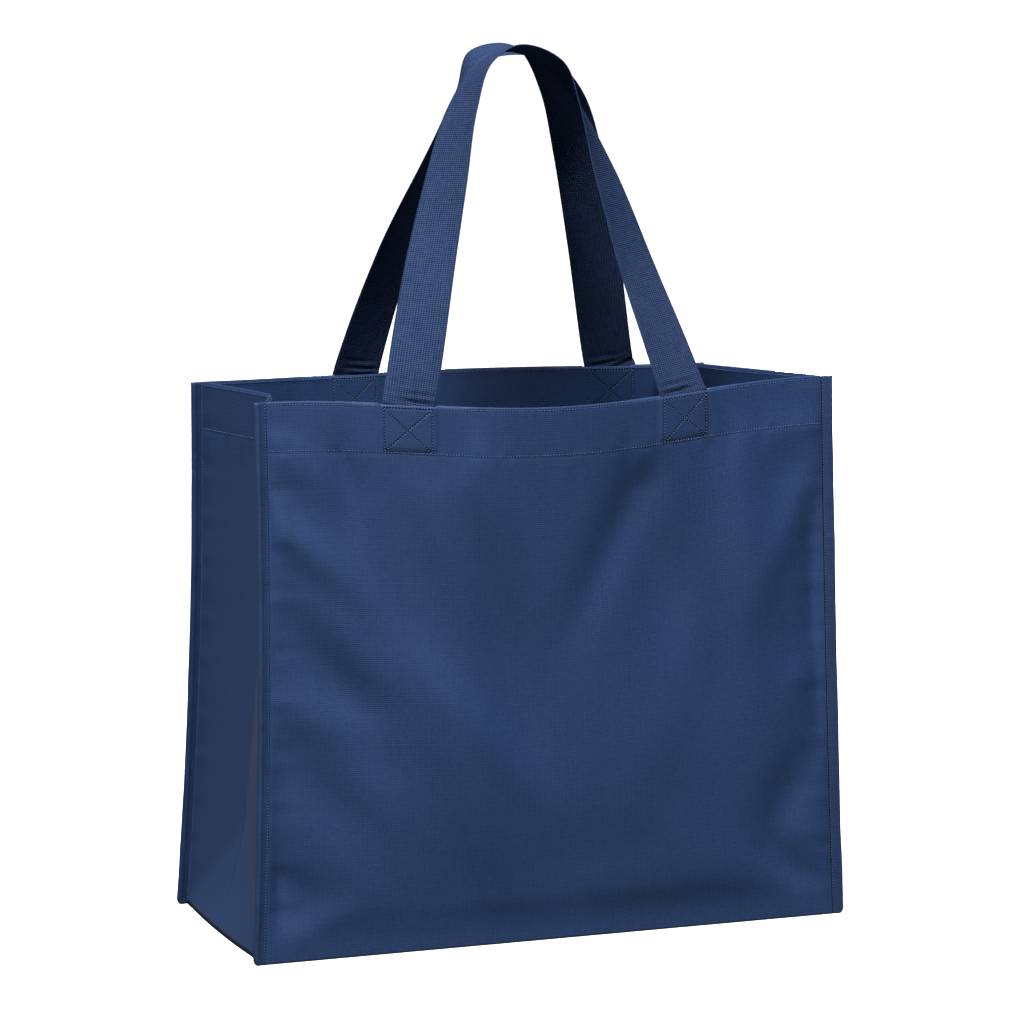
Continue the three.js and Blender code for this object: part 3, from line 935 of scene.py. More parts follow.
# In each finish the weave's height paints light on the raised thread backs and shade between them.
CLOTH_FINISH = WovenFinish(
    name="woven_polyester", shade=(0.0095, 0.0275, 0.0860), light=(0.0220, 0.0520, 0.1430),
    across=1.45, along=1.45, slub_length=5.0, slub_width=0.75, tone_from=0.24, tone_to=0.76,
    painted_weave_light=0.95, line_tone=0.14, bump=0.07, slub_bump=1.2, roughness=(0.40, 0.54),
    # The stitch channels darken this cloth's colour as painted shade.
    specular=0.32, sheen=0.03, channel_painted_shade=0.45, channel_depth=0.35,
)
WEBBING_FINISH = WovenFinish(
    name="ribbed_webbing", shade=(0.0075, 0.0168, 0.0500), light=(0.0370, 0.0595, 0.1260),
    across=1.9, along=1.45, slub_length=9.0, slub_width=1.4, tone_from=0.1, tone_to=0.9,
    painted_weave_light=1.1, line_tone=0.0, bump=0.24, slub_bump=0.4, roughness=(0.6, 0.75),
    specular=0.0, sheen=0.0,
)
BINDING_FINISH = WovenFinish(
    name="rolled_edge", shade=(0.0075, 0.0220, 0.0700), light=(0.0180, 0.0420, 0.1150),
    across=1.45, along=1.45, slub_length=7.0, slub_width=0.75, tone_from=0.3, tone_to=0.7,
    painted_weave_light=0.5, line_tone=0.15, bump=0.05, slub_bump=1.0, roughness=(0.42, 0.56),
    specular=0.3, sheen=0.04,
)
THREAD_FINISH = WovenFinish(
    name="sewing_thread", shade=(0.0420, 0.0780, 0.1900), light=(0.0850, 0.1350, 0.2800),
    across=0.4, along=0.4, slub_length=3.0, slub_width=0.4, tone_from=0.3, tone_to=0.7,
    painted_weave_light=0.35, line_tone=0.0, bump=0.03, slub_bump=0.5, roughness=(0.4, 0.5),
    specular=0.4, sheen=0.05,
)
# Painted shade: a near-black finish for the flat discs that stand for the shade in the needle holes.
HOLE_SHADE_FINISH = WovenFinish(
    name="hole_shade_disc", shade=(0.0030, 0.0090, 0.0300), light=(0.0050, 0.0130, 0.0400),
    across=0.4, along=0.4, slub_length=3.0, slub_width=0.4, tone_from=0.3, tone_to=0.7,
    painted_weave_light=0.2, line_tone=0.0, bump=0.02, slub_bump=0.2, roughness=(0.8, 0.9),
    specular=0.05, sheen=0.0,
)


@dataclass(frozen=True)
class Finishes:
    """The materials of the bag, made once."""

    cloth: bpy.types.Material
    webbing: bpy.types.Material
    binding: bpy.types.Material
    thread: bpy.types.Material
    hole_shade: bpy.types.Material

    @classmethod
    def made(cls) -> "Finishes":
        """Builds the shared weave and the materials on it."""
        weave, channels = weave_group(), channel_group()
        finishes = (CLOTH_FINISH, WEBBING_FINISH, BINDING_FINISH, THREAD_FINISH, HOLE_SHADE_FINISH)
        return cls(*(finish.material(weave, channels) for finish in finishes))


# ---- Sewing ------------------------------------------------------------------------------------


@dataclass(frozen=True)
class Stitching:
    """Running stitches of one thread: each a short closed arch of thread that dips in at both ends."""

    pitch: float = 2.15
    length: float = 1.3
    radius: float = 0.33
    rings: int = 4
    sides: int = 5
    # Size, lift and sides of the dark discs painted as needle hole shade.
    hole_radius: float = 0.36
    hole_lift: float = 0.07
    hole_sides: int = 6
    last_ring: float = 0.86
    taper: float = 0.8
    arch_rise: float = 0.55
    arch_fall: float = 1.9

    def template(self) -> tuple[Array, Array, Array, list[list[int]]]:
        """One stitch: places along it from -1 to 1, ring offsets beside and above it, and its faces.

        The ring radius is the thread's radius times the root of one less the taper times the
        square of the place, and the stitch's two tips close it.

        Returns:
            Places along, offsets beside, offsets above and faces.
        """
        along = np.linspace(-self.last_ring, self.last_ring, self.rings)
        turn = np.arange(self.sides) * 2 * np.pi / self.sides
        swell = np.sqrt(1 - along**2 * self.taper)
        beside = np.outer(swell, np.cos(turn)) * self.radius
        above = np.outer(swell, np.sin(turn)) * self.radius
        places = np.repeat(along, self.sides)
        faces = grid_quads(self.rings, self.sides, wraps=True).tolist()
        tip_a, tip_b = self.rings * self.sides, self.rings * self.sides + 1
        last = (self.rings - 1) * self.sides
        for i in range(self.sides):
            j = (i + 1) % self.sides
            faces.append([tip_a, j, i])
            faces.append([tip_b, last + i, last + j])
        ends = np.array([0.0, 0.0])
        return (np.concatenate([places, [-1, 1]]), np.concatenate([beside.ravel(), ends]),
                np.concatenate([above.ravel(), ends]), faces)

    def frames(self, line: Array, normal: Array, shift: float) -> tuple[Array, Array, Array, Array]:
        """Places at the stitches' pitch along a line that lies on the cloth.

        Args:
            line: Points of the line, in millimetres.
            normal: The cloth's normals at them.
            shift: Share of a pitch from the line's start to the first place.

        Returns:
            Each place's point, the way along the line, the way beside it and the way off the cloth.
        """
        run = run_along(line)
        count = max(int(run[-1] // self.pitch), 1)
        middle = (np.arange(count) + shift) * run[-1] / count

        def at(place: Array, values: Array) -> Array:
            """Values at places along the line, straight between its points."""
            return np.stack([np.interp(place, run, values[:, i]) for i in range(3)], axis=-1)

        tangent = unit(at(middle + self.length / 2, line) - at(middle - self.length / 2, line))
        up = square_to(at(middle, normal), tangent)
        return at(middle, line), tangent, np.cross(up, tangent), up

    def along(self, line: Array, normal: Array) -> tuple[Array, list[list[int]]]:
        """Stitches at an even pitch along a line that lies on the cloth.

        Each point is the stitch's middle, plus the place along it times the tangent, plus its ring
        offsets, plus an arch that falls with the square of the place and sinks the tips in the cloth.

        Args:
            line: Points of the line, in millimetres.
            normal: The cloth's normals at them.

        Returns:
            Points and faces of all the stitches.
        """
        centre, tangent, side, up = self.frames(line, normal, 0.5)
        places, beside, above, faces = self.template()
        arch = self.radius * (self.arch_rise - self.arch_fall * places**2)
        points = (
            centre[:, None]
            + tangent[:, None] * (places * self.length / 2)[None, :, None]
            + side[:, None] * beside[None, :, None]
            + up[:, None] * (above + arch)[None, :, None]
        )
        return repeated(points, faces)

    def hole_shades(self, line: Array, normal: Array) -> tuple[Array, list[list[int]]]:
        """Dark discs between the stitches: small flat hexagons that lie on the cloth, painted as the shade in
        the needle holes.

        Args:
            line: Points of the line, in millimetres.
            normal: The cloth's normals at them.

        Returns:
            Points and faces of all the hole shade discs.
        """
        centre, tangent, side, up = self.frames(line, normal, 0.0)
        turn = np.arange(self.hole_sides) * 2 * np.pi / self.hole_sides
        points = (
            (centre + up * self.hole_lift)[:, None]
            + tangent[:, None] * (np.cos(turn) * self.hole_radius)[None, :, None]
            - side[:, None] * (np.sin(turn) * self.hole_radius)[None, :, None]
        )
        return repeated(points, [list(range(self.hole_sides))])


def repeated(points: Array, faces: list[list[int]]) -> tuple[Array, list[list[int]]]:
    """Joins copies of a small form: its faces once for each block of points, renumbered."""
    count, size = points.shape[:2]
    shifted = [[corner + k * size for corner in face] for k in range(count) for face in faces]
    return points.reshape(-1, 3), shifted


@dataclass
class Gathered:
    """Points and faces that are put together into one mesh."""

    points: list[Array] = field(default_factory=list)
    faces: list[list[int]] = field(default_factory=list)
    total: int = 0

    def add(self, points: Array, faces: list[list[int]]) -> None:
        """Adds points and the faces between them."""
        self.faces += [[corner + self.total for corner in face] for face in faces]
        self.points.append(points)
        self.total += len(points)

    def made(self, name: str, material: bpy.types.Material, slot: Slot) -> bpy.types.Object:
        """All of it as one piece, with flat coordinates from X, Y and Z."""
        points = np.concatenate(self.points)
        return new_piece(name, points, self.faces, points[:, [0, 2]] + points[:, [1, 1]], material)


@dataclass
class ThreadWork:
    """Rows of stitches and dark discs painted as their needle hole shade, which become a piece of thread and
    a piece of discs.
    """

    name: str
    stitching: Stitching
    thread: Gathered = field(default_factory=Gathered)
    hole_shades: Gathered = field(default_factory=Gathered)

    def row(self, surface: Surface, a: Array, b: Array, toward: Array, lift: float) -> None:
        """Adds a row of stitches on a surface.

        Args:
            surface: Gives the middle layer of the cloth.
            a: First parameter along the row.
            b: Second parameter along the row.
            toward: The way that the sewn side faces.
            lift: Half of the cloth's thickness.
        """
        normal = surface_normals(surface, a, b, toward)
        line = surface(a, b) + normal * lift
        self.thread.add(*self.stitching.along(line, normal))
        if self.stitching.hole_radius:
            self.hole_shades.add(*self.stitching.hole_shades(line, normal))

    def made(self, finishes: Finishes, slot: Slot) -> list[bpy.types.Object]:
        """The pieces of this work.

        Args:
            finishes: The bag's materials.
            slot: The record's material slot; not used.

        Returns:
            The thread and, where there are any, the discs painted as needle hole shade.
        """
        pieces = [self.thread.made(f"{self.name}_stitching", finishes.thread, slot)]
        if self.hole_shades.total:
            pieces.append(self.hole_shades.made(f"{self.name}_hole_shade_discs", finishes.hole_shade, slot))
        return pieces


# ---- Sub-assemblies ----------------------------------------------------------------------------


@dataclass(frozen=True)
class MainCloth:
    """The long strip that is the front, the base and the back, with a turned-in hem at each end."""

    shape: BagShape
    thickness: float = 0.5
    hem_end_margin: float = 5
    hem_over: float = 1.5
    webbing_margin: float = 0.8
    slot_margin: float = 0.6
    column_spacing: Spacing = Spacing(3.7, 0.8, 2.2)
    front_spacing: Spacing = Spacing(3.3, 0.7, 2.0)
    back_spacing: Spacing = Spacing(4.6, 0.7, 2.0)
    hem_spacing: Spacing = Spacing(4.0, 0.9, 2.0)
    base_spacing: Spacing = Spacing(7, 1.5, 8)
    crest_rows: int = 6
    fold_rows: int = 5
    even_below: float = 48

    def columns(self) -> Array:
        """Shares across the strip, closer together at the seams and at the webbing's edges."""
        width, half = self.shape.mouth_width, self.shape.webbing_width / 2 + self.webbing_margin
        places = [0.0, width]
        for face in (-1, 1):
            handle = self.shape.handle(face)
            for side in (-1, 1):
                middle = self.shape.across_at(face, handle.foot(side)) * width
                places += [middle - half, middle + half]
        return self.column_spacing.between(0, width, places) / width

    def wall_block(self, face: int, u: Array, spacing: Spacing) -> Array:
        """Rows of a wall from its mouth edge to its bottom fold.

        A row keeps its distance below the edge down to a little under the hem, and from there on
        the distance stretches evenly to reach the ground.

        Args:
            face: -1 at the front, 1 at the back.
            u: Shares across.
            spacing: How far apart the rows are.

        Returns:
            Rows by columns by 3 points.
        """
        shape = self.shape
        start = shape.bottom_radius + self.thickness / 2
        length = shape.height - start
        fine_at = [shape.sewn.edge_line, shape.webbing_in_hem, shape.hem_depth]
        rows = spacing.between(0, length, fine_at)[:, None]
        top = shape.wall_top(face, u)[None, :]
        radius = shape.hem_gap(face, shape.outer(face, u, np.zeros_like(u))[:, 0])[None, :] / 2
        lower = np.clip((rows - self.even_below) / (length - self.even_below), 0, 1)
        stretch = (top - start - length - radius) * lower
        return shape.wall(face, np.broadcast_to(u, (len(rows), len(u))), top - radius - rows - stretch)

    def half(self, face: int, u: Array, spacing: Spacing) -> list[Array]:
        """Blocks of one face, from the free end of its hem to its bottom fold.

        The hem is the wall moved inward. The crest is half a circle over the mouth edge. The bottom
        fold is a quarter circle.

        Args:
            face: -1 at the front, 1 at the back.
            u: Shares across.
            spacing: How far apart the rows are.

        Returns:
            Blocks of rows by columns by 3 points.
        """
        shape = self.shape
        margin = self.hem_end_margin / shape.mouth_width
        inset = mix(margin, 1 - margin, u)
        gap = shape.hem_gap(face, shape.outer(face, inset, np.zeros_like(u))[:, 0]) / 2
        fine_at = [shape.sewn.edge_line, shape.hem_depth - 1]
        below = self.hem_spacing.between(0, shape.hem_depth + self.hem_over, fine_at)[::-1][:, None]
        across = np.broadcast_to(inset, (len(below), len(u)))
        hem = shape.inner(face, across, below + gap[None, :])
        turned = np.linspace(1, 0, self.crest_rows + 1)[1:-1][:, None]
        across = mix(margin * turned, 1 - margin * turned, u[None, :])
        top = shape.wall_top(face, across)
        edge_gap = shape.hem_gap(face, shape.wall(face, across, top)[..., 0]) / 2
        crest = shape.wall(face, across, top - edge_gap)
        boss = shape.webbing_boss(face, crest[..., 0], edge_gap)
        crest[..., 1] -= face * (edge_gap * (1 - np.cos(np.pi * turned)) + boss * turned)
        crest[..., 2] += edge_gap * np.sin(np.pi * turned)
        turned = np.linspace(1, 0, self.fold_rows + 1)[1:][:, None] * np.pi / 2
        x = mix(-shape.base_width / 2, shape.base_width / 2, u)[None, :]
        y = face * (shape.base_depth / 2 - shape.bottom_radius * (1 - np.sin(turned)))
        z = shape.bottom_radius * (1 - np.cos(turned)) + self.thickness / 2
        fold = np.stack(np.broadcast_arrays(x, y, z), axis=-1)
        return [hem, crest, self.wall_block(face, u, spacing), fold]

    def build(self, finishes: Finishes) -> bpy.types.Object:
        """Makes the strip, with a slot in each crest where the webbing goes into the hem.

        Args:
            finishes: The bag's materials.

        Returns:
            The new object.
        """
        shape, u = self.shape, self.columns()
        front = self.half(-1, u, self.front_spacing)
        back = self.half(1, u, self.back_spacing)
        reach = shape.base_depth / 2 - shape.bottom_radius
        rows = self.base_spacing.between(-reach, reach, [-reach, reach])[1:-1][:, None]
        foot = np.full_like(rows, self.thickness)
        edges = [shape.gusset(side, rows / (2 * reach) + 0.5, foot)[..., 0] for side in (-1, 1)]
        x = mix(edges[0], edges[1], u[None, :])
        base = np.stack(np.broadcast_arrays(x, rows, self.thickness / 2), axis=-1)
        behind = [base] + [block[::-1] for block in back[::-1]]
        points = np.concatenate(front + behind)
        run = run_along(points[:, len(u) // 2])
        uv = np.stack(np.broadcast_arrays((u[None, :] - 0.5) * shape.base_width, run[:, None]), axis=-1)
        keep = np.ones((points.shape[0] - 1, points.shape[1] - 1), dtype=bool)
        for face, first in ((-1, len(front[0])), (1, points.shape[0] - len(back[0]) - len(back[1]))):
            opened = slice(first, first + len(front[1]) - 1)
            quad_x = points[first, :-1, 0] / 2 + points[first, 1:, 0] / 2
            beside = np.abs(shape.handle(face).beside(quad_x))
            keep[opened] &= (beside > shape.webbing_width / 2 + self.slot_margin)[None, :]
        sewing = np.concatenate([shape.sewing(-1, np.concatenate(front)),
                                 shape.sewing(1, np.concatenate(behind))])
        piece = new_sheet("main_cloth", points, uv, sewing, self.thickness, finishes.cloth, keep)
        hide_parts("main_panel")
        return piece


@dataclass(frozen=True)
class Gusset:
    """One side of the bag, with its crease, its triangle and its own turned-in hem."""

    shape: BagShape
    side: Side
    thickness: float = 0.5
    hem_end_margin: float = 5
    column_spacing: Spacing = Spacing(2.6, 0.7, 3.0)
    row_spacing: Spacing = Spacing(3.6, 0.7, 2.0)
    hem_spacing: Spacing = Spacing(4.0, 0.9, 2.0)
    layers_below: float = 1.6
    crest_rows: int = 6

    def build(self, finishes: Finishes) -> bpy.types.Object:
        """Makes the gusset from the free end of its hem, over the mouth edge and down to the base.

        Args:
            finishes: The bag's materials.

        Returns:
            The new object.
        """
        shape, side = self.shape, self.side.value
        depth = shape.base_depth
        v = self.column_spacing.between(0, depth, [0, depth / 2, depth]) / depth
        margin = self.hem_end_margin / shape.mouth_depth
        top = shape.gusset_top(side, v)
        radius = shape.hem_step / 2

        def share_at(z: Array, inset: float | Array) -> Array:
            """Shares across the gusset: even on either side of the crease."""
            crease = shape.crease_share(side, z)
            share = np.where(v < 0.5, crease * v * 2, mix(crease, 1, v * 2 - 1))
            return mix(inset, 1 - inset, share)

        below = self.hem_spacing.between(radius, shape.hem_depth, [shape.hem_depth - 1])[::-1][:, None]
        hem = shape.gusset(side, share_at(shape.height, margin), top[None, :] - below)
        hem[..., 0] -= side * shape.hem_step
        turned = np.linspace(1, 0, self.crest_rows + 1)[1:-1][:, None]
        crest = shape.gusset(side, share_at(shape.height, margin * turned),
                             np.broadcast_to(top - radius, (len(turned), len(v))))
        crest[..., 0] -= side * radius * (1 - np.cos(np.pi * turned))
        crest[..., 2] += radius * np.sin(np.pi * turned)
        start = self.thickness * self.layers_below
        rows = self.row_spacing.between(0, shape.height - start, [shape.hem_depth])
        level = mix(top[None, :] - radius, start, (rows / rows[-1])[:, None])
        wall = shape.gusset(side, share_at(level, 0.0), level)
        points = np.concatenate([hem, crest, wall])
        run = run_along(points[:, len(v) // 2])
        uv = np.stack(np.broadcast_arrays(v[None, :] * depth, run[:, None]), axis=-1)
        name = f"{self.side.name.lower()}_gusset"
        y, z = points[..., 1], points[..., 2]
        from_seam = np.minimum(y - shape.seam(side, -1, z)[..., 1], shape.seam(side, 1, z)[..., 1] - y)
        beside = np.full_like(y, shape.base_width)
        sewing = np.stack([beside, top[None, :] - z, from_seam - shape.layer_step], axis=-1)
        piece = new_sheet(f"{name}_cloth", points, uv, sewing, self.thickness, finishes.cloth)
        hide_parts(name)
        return piece


@dataclass(frozen=True)
class Fin:
    """An upright seam: the edges of a wall and a gusset laid together, with a rolled outer edge."""

    shape: BagShape
    side: Side
    face: Face
    width: float = 8.5
    corner_radius: float = 5
    row_spacing: Spacing = Spacing(3.5, 0.6, 3.0)
    above_ground: float = 0.3
    closed_below: float = 1.6
    open_at_foot: float = 0.35
    closed_above: float = 1.2
    open_at_top: float = 0.4
    core_depth: float = -0.5
    stretch_of_depth: float = 3
    profile_out: tuple[float, ...] = (
        -0.9, -0.3, 0.5, 1.4, 3.5, 3.9, 4.25, 5.0, 6.3, 7.5, 8.2, 8.5,
        8.2, 7.5, 6.3, 5.0, 4.25, 3.9, 3.5, 1.4, 0.3, -0.9)
    profile_depth: tuple[float, ...] = (
        -0.25, -0.38, -0.30, 0.06, 0.12, 0.22, 0.72, 0.86, 0.92, 0.84, 0.55, -0.55,
        -1.62, -1.92, -2.00, -1.94, -1.80, -1.42, -1.36, -1.34, -1.20, -1.00)
    waves: tuple[tuple[float, float, int, int], ...] = (
        (0.30, 21, 1, 0), (0.18, 9.7, 0, 2), (0.10, 5.3, 0, 0))

    def reach(self, z: Array) -> Array:
        """Share of the fin's width at a height: a circle rounds its lower outer corner."""
        below = np.clip(self.corner_radius - z, 0, self.corner_radius)
        return (self.width - self.corner_radius + np.sqrt(self.corner_radius**2 - below**2)) / self.width

    def surface(self, outward: Array, depth: Array, z: Array) -> Array:
        """A point of the fin: the seam line, moved outward and toward the wall's outside.

        The free edge waves as a sum of sines up the fin.

        Args:
            outward: Places from the seam line.
            depth: Depths toward the outside of the wall.
            z: Heights.

        Returns:
            The points.
        """
        side, face = self.side.value, self.face.value
        point = self.shape.seam(side, face, z)
        edge = np.clip(outward / self.width, 0, 1)
        wave = sum(height * np.sin(z / length + by_side * side + by_face * face)
                   for height, length, by_side, by_face in self.waves)
        point[..., 0] = point[..., 0] + side * np.where(outward > 0, outward * self.reach(z), outward)
        point[..., 1] = point[..., 1] + face * (depth + wave * edge)
        return point

    def build(self, finishes: Finishes) -> bpy.types.Object:
        """Makes the fin from just above the ground to the mouth edge.

        Args:
            finishes: The bag's materials.

        Returns:
            The new object.
        """
        outward, depth = np.array(self.profile_out), np.array(self.profile_depth)
        top = self.shape.seam_top(self.side.value, self.face.value)
        rows = self.row_spacing.between(self.above_ground, top, [self.above_ground, top])[:, None]
        closing = np.minimum(ease(rows / self.closed_below + self.open_at_foot),
                             ease((top - rows) / self.closed_above + self.open_at_top))
        shrunk = mix(self.core_depth, depth[None, :], closing)
        points = self.surface(np.broadcast_to(outward, (len(rows), len(outward))), shrunk,
                              np.broadcast_to(rows, (len(rows), len(outward))))
        flat = outward[None, :] - self.stretch_of_depth * depth[None, :]
        uv = np.stack(np.broadcast_arrays(flat, rows), axis=-1)
        name = f"{self.face.name.lower()}_{self.side.name.lower()}_fin"
        return new_tube(name, points, uv, finishes.binding)


class CentripetalCurve:
    """A smooth curve through points, with each span timed by the square root of its length."""

    def __init__(self, points: Array) -> None:
        """Keeps the points, with one more at each end, straight on."""
        first, last = 2 * points[0] - points[1], 2 * points[-1] - points[-2]
        self.points = np.concatenate([[first], points, [last]])
        self.spans = len(points) - 1

    def at(self, share: Array) -> Array:
        """Points of the curve: a cubic on each span, with tangents from the spans' times.

        Args:
            share: Places from 0 to 1, even in the number of spans.

        Returns:
            The points.
        """
        place = np.clip(share, 0, 1) * self.spans
        span = np.minimum(place.astype(int), self.spans - 1)
        t = (place - span)[:, None]
        p0, p1, p2, p3 = (self.points[span + i] for i in range(4))
        pairs = ((p0, p1), (p1, p2), (p2, p3))
        gaps = [np.sqrt(np.linalg.norm(b - a, axis=1, keepdims=True)) for a, b in pairs]
        d1 = np.where(gaps[1] < SHORTEST_SPAN, 1.0, gaps[1])
        d0 = np.where(gaps[0] < SHORTEST_SPAN, d1, gaps[0])
        d2 = np.where(gaps[2] < SHORTEST_SPAN, d1, gaps[2])
        enter = ((p1 - p0) / d0 - (p2 - p0) / (d0 + d1) + (p2 - p1) / d1) * d1
        leave = ((p2 - p1) / d1 - (p3 - p1) / (d1 + d2) + (p3 - p2) / d2) * d1
        square = -3 * p1 + 3 * p2 - 2 * enter - leave
        cube = 2 * p1 - 2 * p2 + enter + leave
        return p1 + t * (enter + t * (square + t * cube))


@dataclass(frozen=True)
class FootWrinkle:
    """A short wrinkle across the webbing above a foot, in millimetres."""

    height: float
    above: float
    width: float
    across: float
    reach: float


@dataclass(frozen=True)
class WebbingHandle:
    """A handle of flat webbing, from inside the hem over its arch and into the hem again."""

    shape: BagShape
    handle: Handle
    name: str
    width: float = 38
    thickness: float = 1.5
    foot_above_edge: float = 1
    pocket_stops: tuple[float, ...] = (5, 18, 32)
    crown_gap: float = 39
    crown_tilt: float = 10
    row_step: float = 1.3
    side_points: int = 22
    edge_crowding: float = 0.8
    edge_power: float = 14
    wave_height: float = 0.25
    wave_length: float = 17
    wave_start: float = 30
    wrinkle_slant: float = 0.06
    wrinkles: tuple[FootWrinkle, ...] = (
        FootWrinkle(-1.7, 2.4, 0.9, 6, 10), FootWrinkle(0.7, 4.8, 1.2, 3, 12),
        FootWrinkle(-0.7, 7.4, 1.1, 7, 8), FootWrinkle(0.5, 10.5, 1.6, -1, 12),
    )

    def route(self) -> tuple[CentripetalCurve, CentripetalCurve]:
        """The middle line and the width direction of the strap.

        Returns:
            A curve through the middles and one through the width directions.
        """
        shape, handle, face = self.shape, self.handle, self.handle.face.value
        stations = np.linspace(0, 1, len(handle.left_twist))
        plain = BareShape(shape)
        tilt = math.radians(self.crown_tilt)
        crown = np.array([handle.centre + handle.crown_shift, face * self.crown_gap / 2,
                          shape.height + handle.crown_rise])
        crown_way = np.array([0, face * math.cos(tilt), math.sin(tilt)])
        legs = []
        for side, spread, twist in ((-1, handle.left_spread, handle.left_twist),
                                    (1, handle.right_spread, handle.right_twist)):
            foot = plain.pocket_point(face, side, -self.foot_above_edge, 0.0)
            way = plain.wall_way(face, side)
            middles = np.stack([
                mix(crown[0], foot[0], np.array(spread)),
                mix(crown[1], foot[1], stations**handle.lean_power),
                mix(crown[2], foot[2], stations**handle.drop_power),
            ], axis=-1)
            turn = np.radians(twist)[:, None]
            ways = crown_way * np.cos(turn) + way * np.sin(turn)
            lean = abs((middles[-1, 0] - middles[-2, 0]) / (middles[-1, 2] - middles[-2, 2]))
            stops = np.array(self.pocket_stops)
            shift = lean * (stops - stops**2 / (2 * shape.webbing_in_hem))
            tail = np.array([plain.pocket_point(face, side, stop, out) for stop, out in zip(stops, shift)])
            tail_ways = np.tile(way, (len(stops), 1))
            legs.append((np.concatenate([middles, tail]), np.concatenate([ways, tail_ways])))
        middles = np.concatenate([legs[0][0][::-1], legs[1][0][1:]])
        ways = np.concatenate([legs[0][1][::-1], legs[1][1][1:]])
        return CentripetalCurve(middles), CentripetalCurve(ways)

    def build(self, finishes: Finishes) -> bpy.types.Object:
        """Makes the strap: a flat section with rounded edges, carried along the route.

        The section's half thickness falls to nothing at the edges as the root of one less a high
        power of the place across. Small wrinkles, bells along the strap, lie just above each foot.

        Args:
            finishes: The bag's materials.

        Returns:
            The new object.
        """
        middle, way = self.route()
        fine = np.linspace(0, 1, CURVE_SAMPLES)
        run = run_along(middle.at(fine))
        count = int(run[-1] / self.row_step)
        share = np.interp(np.linspace(0, run[-1], count), run, fine)
        centre = middle.at(share)
        tangent = unit(middle.at(share + CURVE_NUDGE) - middle.at(share - CURVE_NUDGE))
        across = square_to(way.at(share), tangent)
        normal = np.cross(across, tangent)
        place = -np.cos(np.linspace(0, np.pi, self.side_points))
        place = np.sign(place) * np.abs(place) ** self.edge_crowding
        half = self.thickness / 2 * np.sqrt(np.clip(1 - np.abs(place) ** self.edge_power, 0, 1))
        side_place = np.concatenate([place, place[-2:0:-1]]) * self.width / 2
        side_depth = np.concatenate([half, -half[-2:0:-1]])
        along = run[-1] * np.linspace(0, 1, count)
        from_end = np.minimum(along, run[-1] - along)[:, None] - self.pocket_stops[-1]
        beside = side_place[None, :]
        skew = from_end - beside * self.wrinkle_slant
        wrinkle = sum(
            fold.height * mound(skew - fold.above, fold.width) * mound(beside - fold.across, fold.reach)
            for fold in self.wrinkles
        )
        facing = np.sign(normal[:, 1:2] * self.handle.face.value)
        sway = self.wave_height * np.sin(along / self.wave_length)[:, None]
        wave = sway * (beside / self.width * 2) ** 2
        offset = side_depth[None, :] + facing * wrinkle + wave * ease(from_end / self.wave_start)
        points = (
            centre[:, None]
            + across[:, None] * side_place[None, :, None]
            + normal[:, None] * offset[:, :, None]
        )
        uv = np.stack(np.broadcast_arrays(side_place[None, :], along[:, None]), axis=-1)
        piece = new_tube(f"{self.name}_webbing", points, uv, finishes.webbing)
        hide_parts(self.name)
        return piece


@dataclass(frozen=True)
class BareShape:
    """Places inside the hem without the small relief, where the webbing lies."""

    shape: BagShape

    def wall(self, face: int, across: float, below: float) -> Array:
        """A point of the wall near the mouth, without its folds or relief."""
        shape = self.shape
        top = float(shape.wall_top(face, across))
        share = (top - below) / top
        left = shape.seam(-1, face, share * shape.seam_top(-1, face))
        right = shape.seam(1, face, share * shape.seam_top(1, face))
        bow = shape.wall_bow * math.sin(math.pi * across) ** 2 * share**shape.bow_power
        point = mix(left, right, across)
        return np.array([point[0], point[1] + face * bow, top - below])

    def pocket_point(self, face: int, side: int, below: float, outward: float) -> Array:
        """The middle of a webbing end inside the hem.

        Args:
            face: -1 at the front, 1 at the back.
            side: -1 for the left foot, 1 for the right one.
            below: Distance below the mouth edge.
            outward: How far the webbing has moved toward its seam.

        Returns:
            The point.
        """
        shape = self.shape
        across = shape.across_at(face, shape.handle(face).foot(side)) + side * outward / shape.mouth_width
        point = self.wall(face, across, below)
        point[1] -= face * shape.pocket_step / 2
        return point

    def wall_way(self, face: int, side: int) -> Array:
        """The way from the outer edge of a foot to its inner edge, along the mouth."""
        shape = self.shape
        across = shape.across_at(face, shape.handle(face).foot(side))
        reach = side * shape.webbing_width / 2 / shape.mouth_width
        way = self.wall(face, across - reach, 0.0) - self.wall(face, across + reach, 0.0)
        return way / np.linalg.norm(way)


@dataclass(frozen=True)
class FinRow:
    """A row of stitches up both sides of a fin: its place, and the depth of each side there."""

    name: str
    stitching: Stitching
    outward: float
    wall_depth: float
    gusset_depth: float


FINE_STITCHING = Stitching(pitch=1.7, length=1.15, radius=0.13, rings=3, sides=4, hole_radius=0.0)
SEAM_ROW = FinRow("seam", Stitching(), 0.35, -0.30, -1.22)
EDGE_ROW = FinRow("edge", FINE_STITCHING, 6.3, 0.92, -2.0)


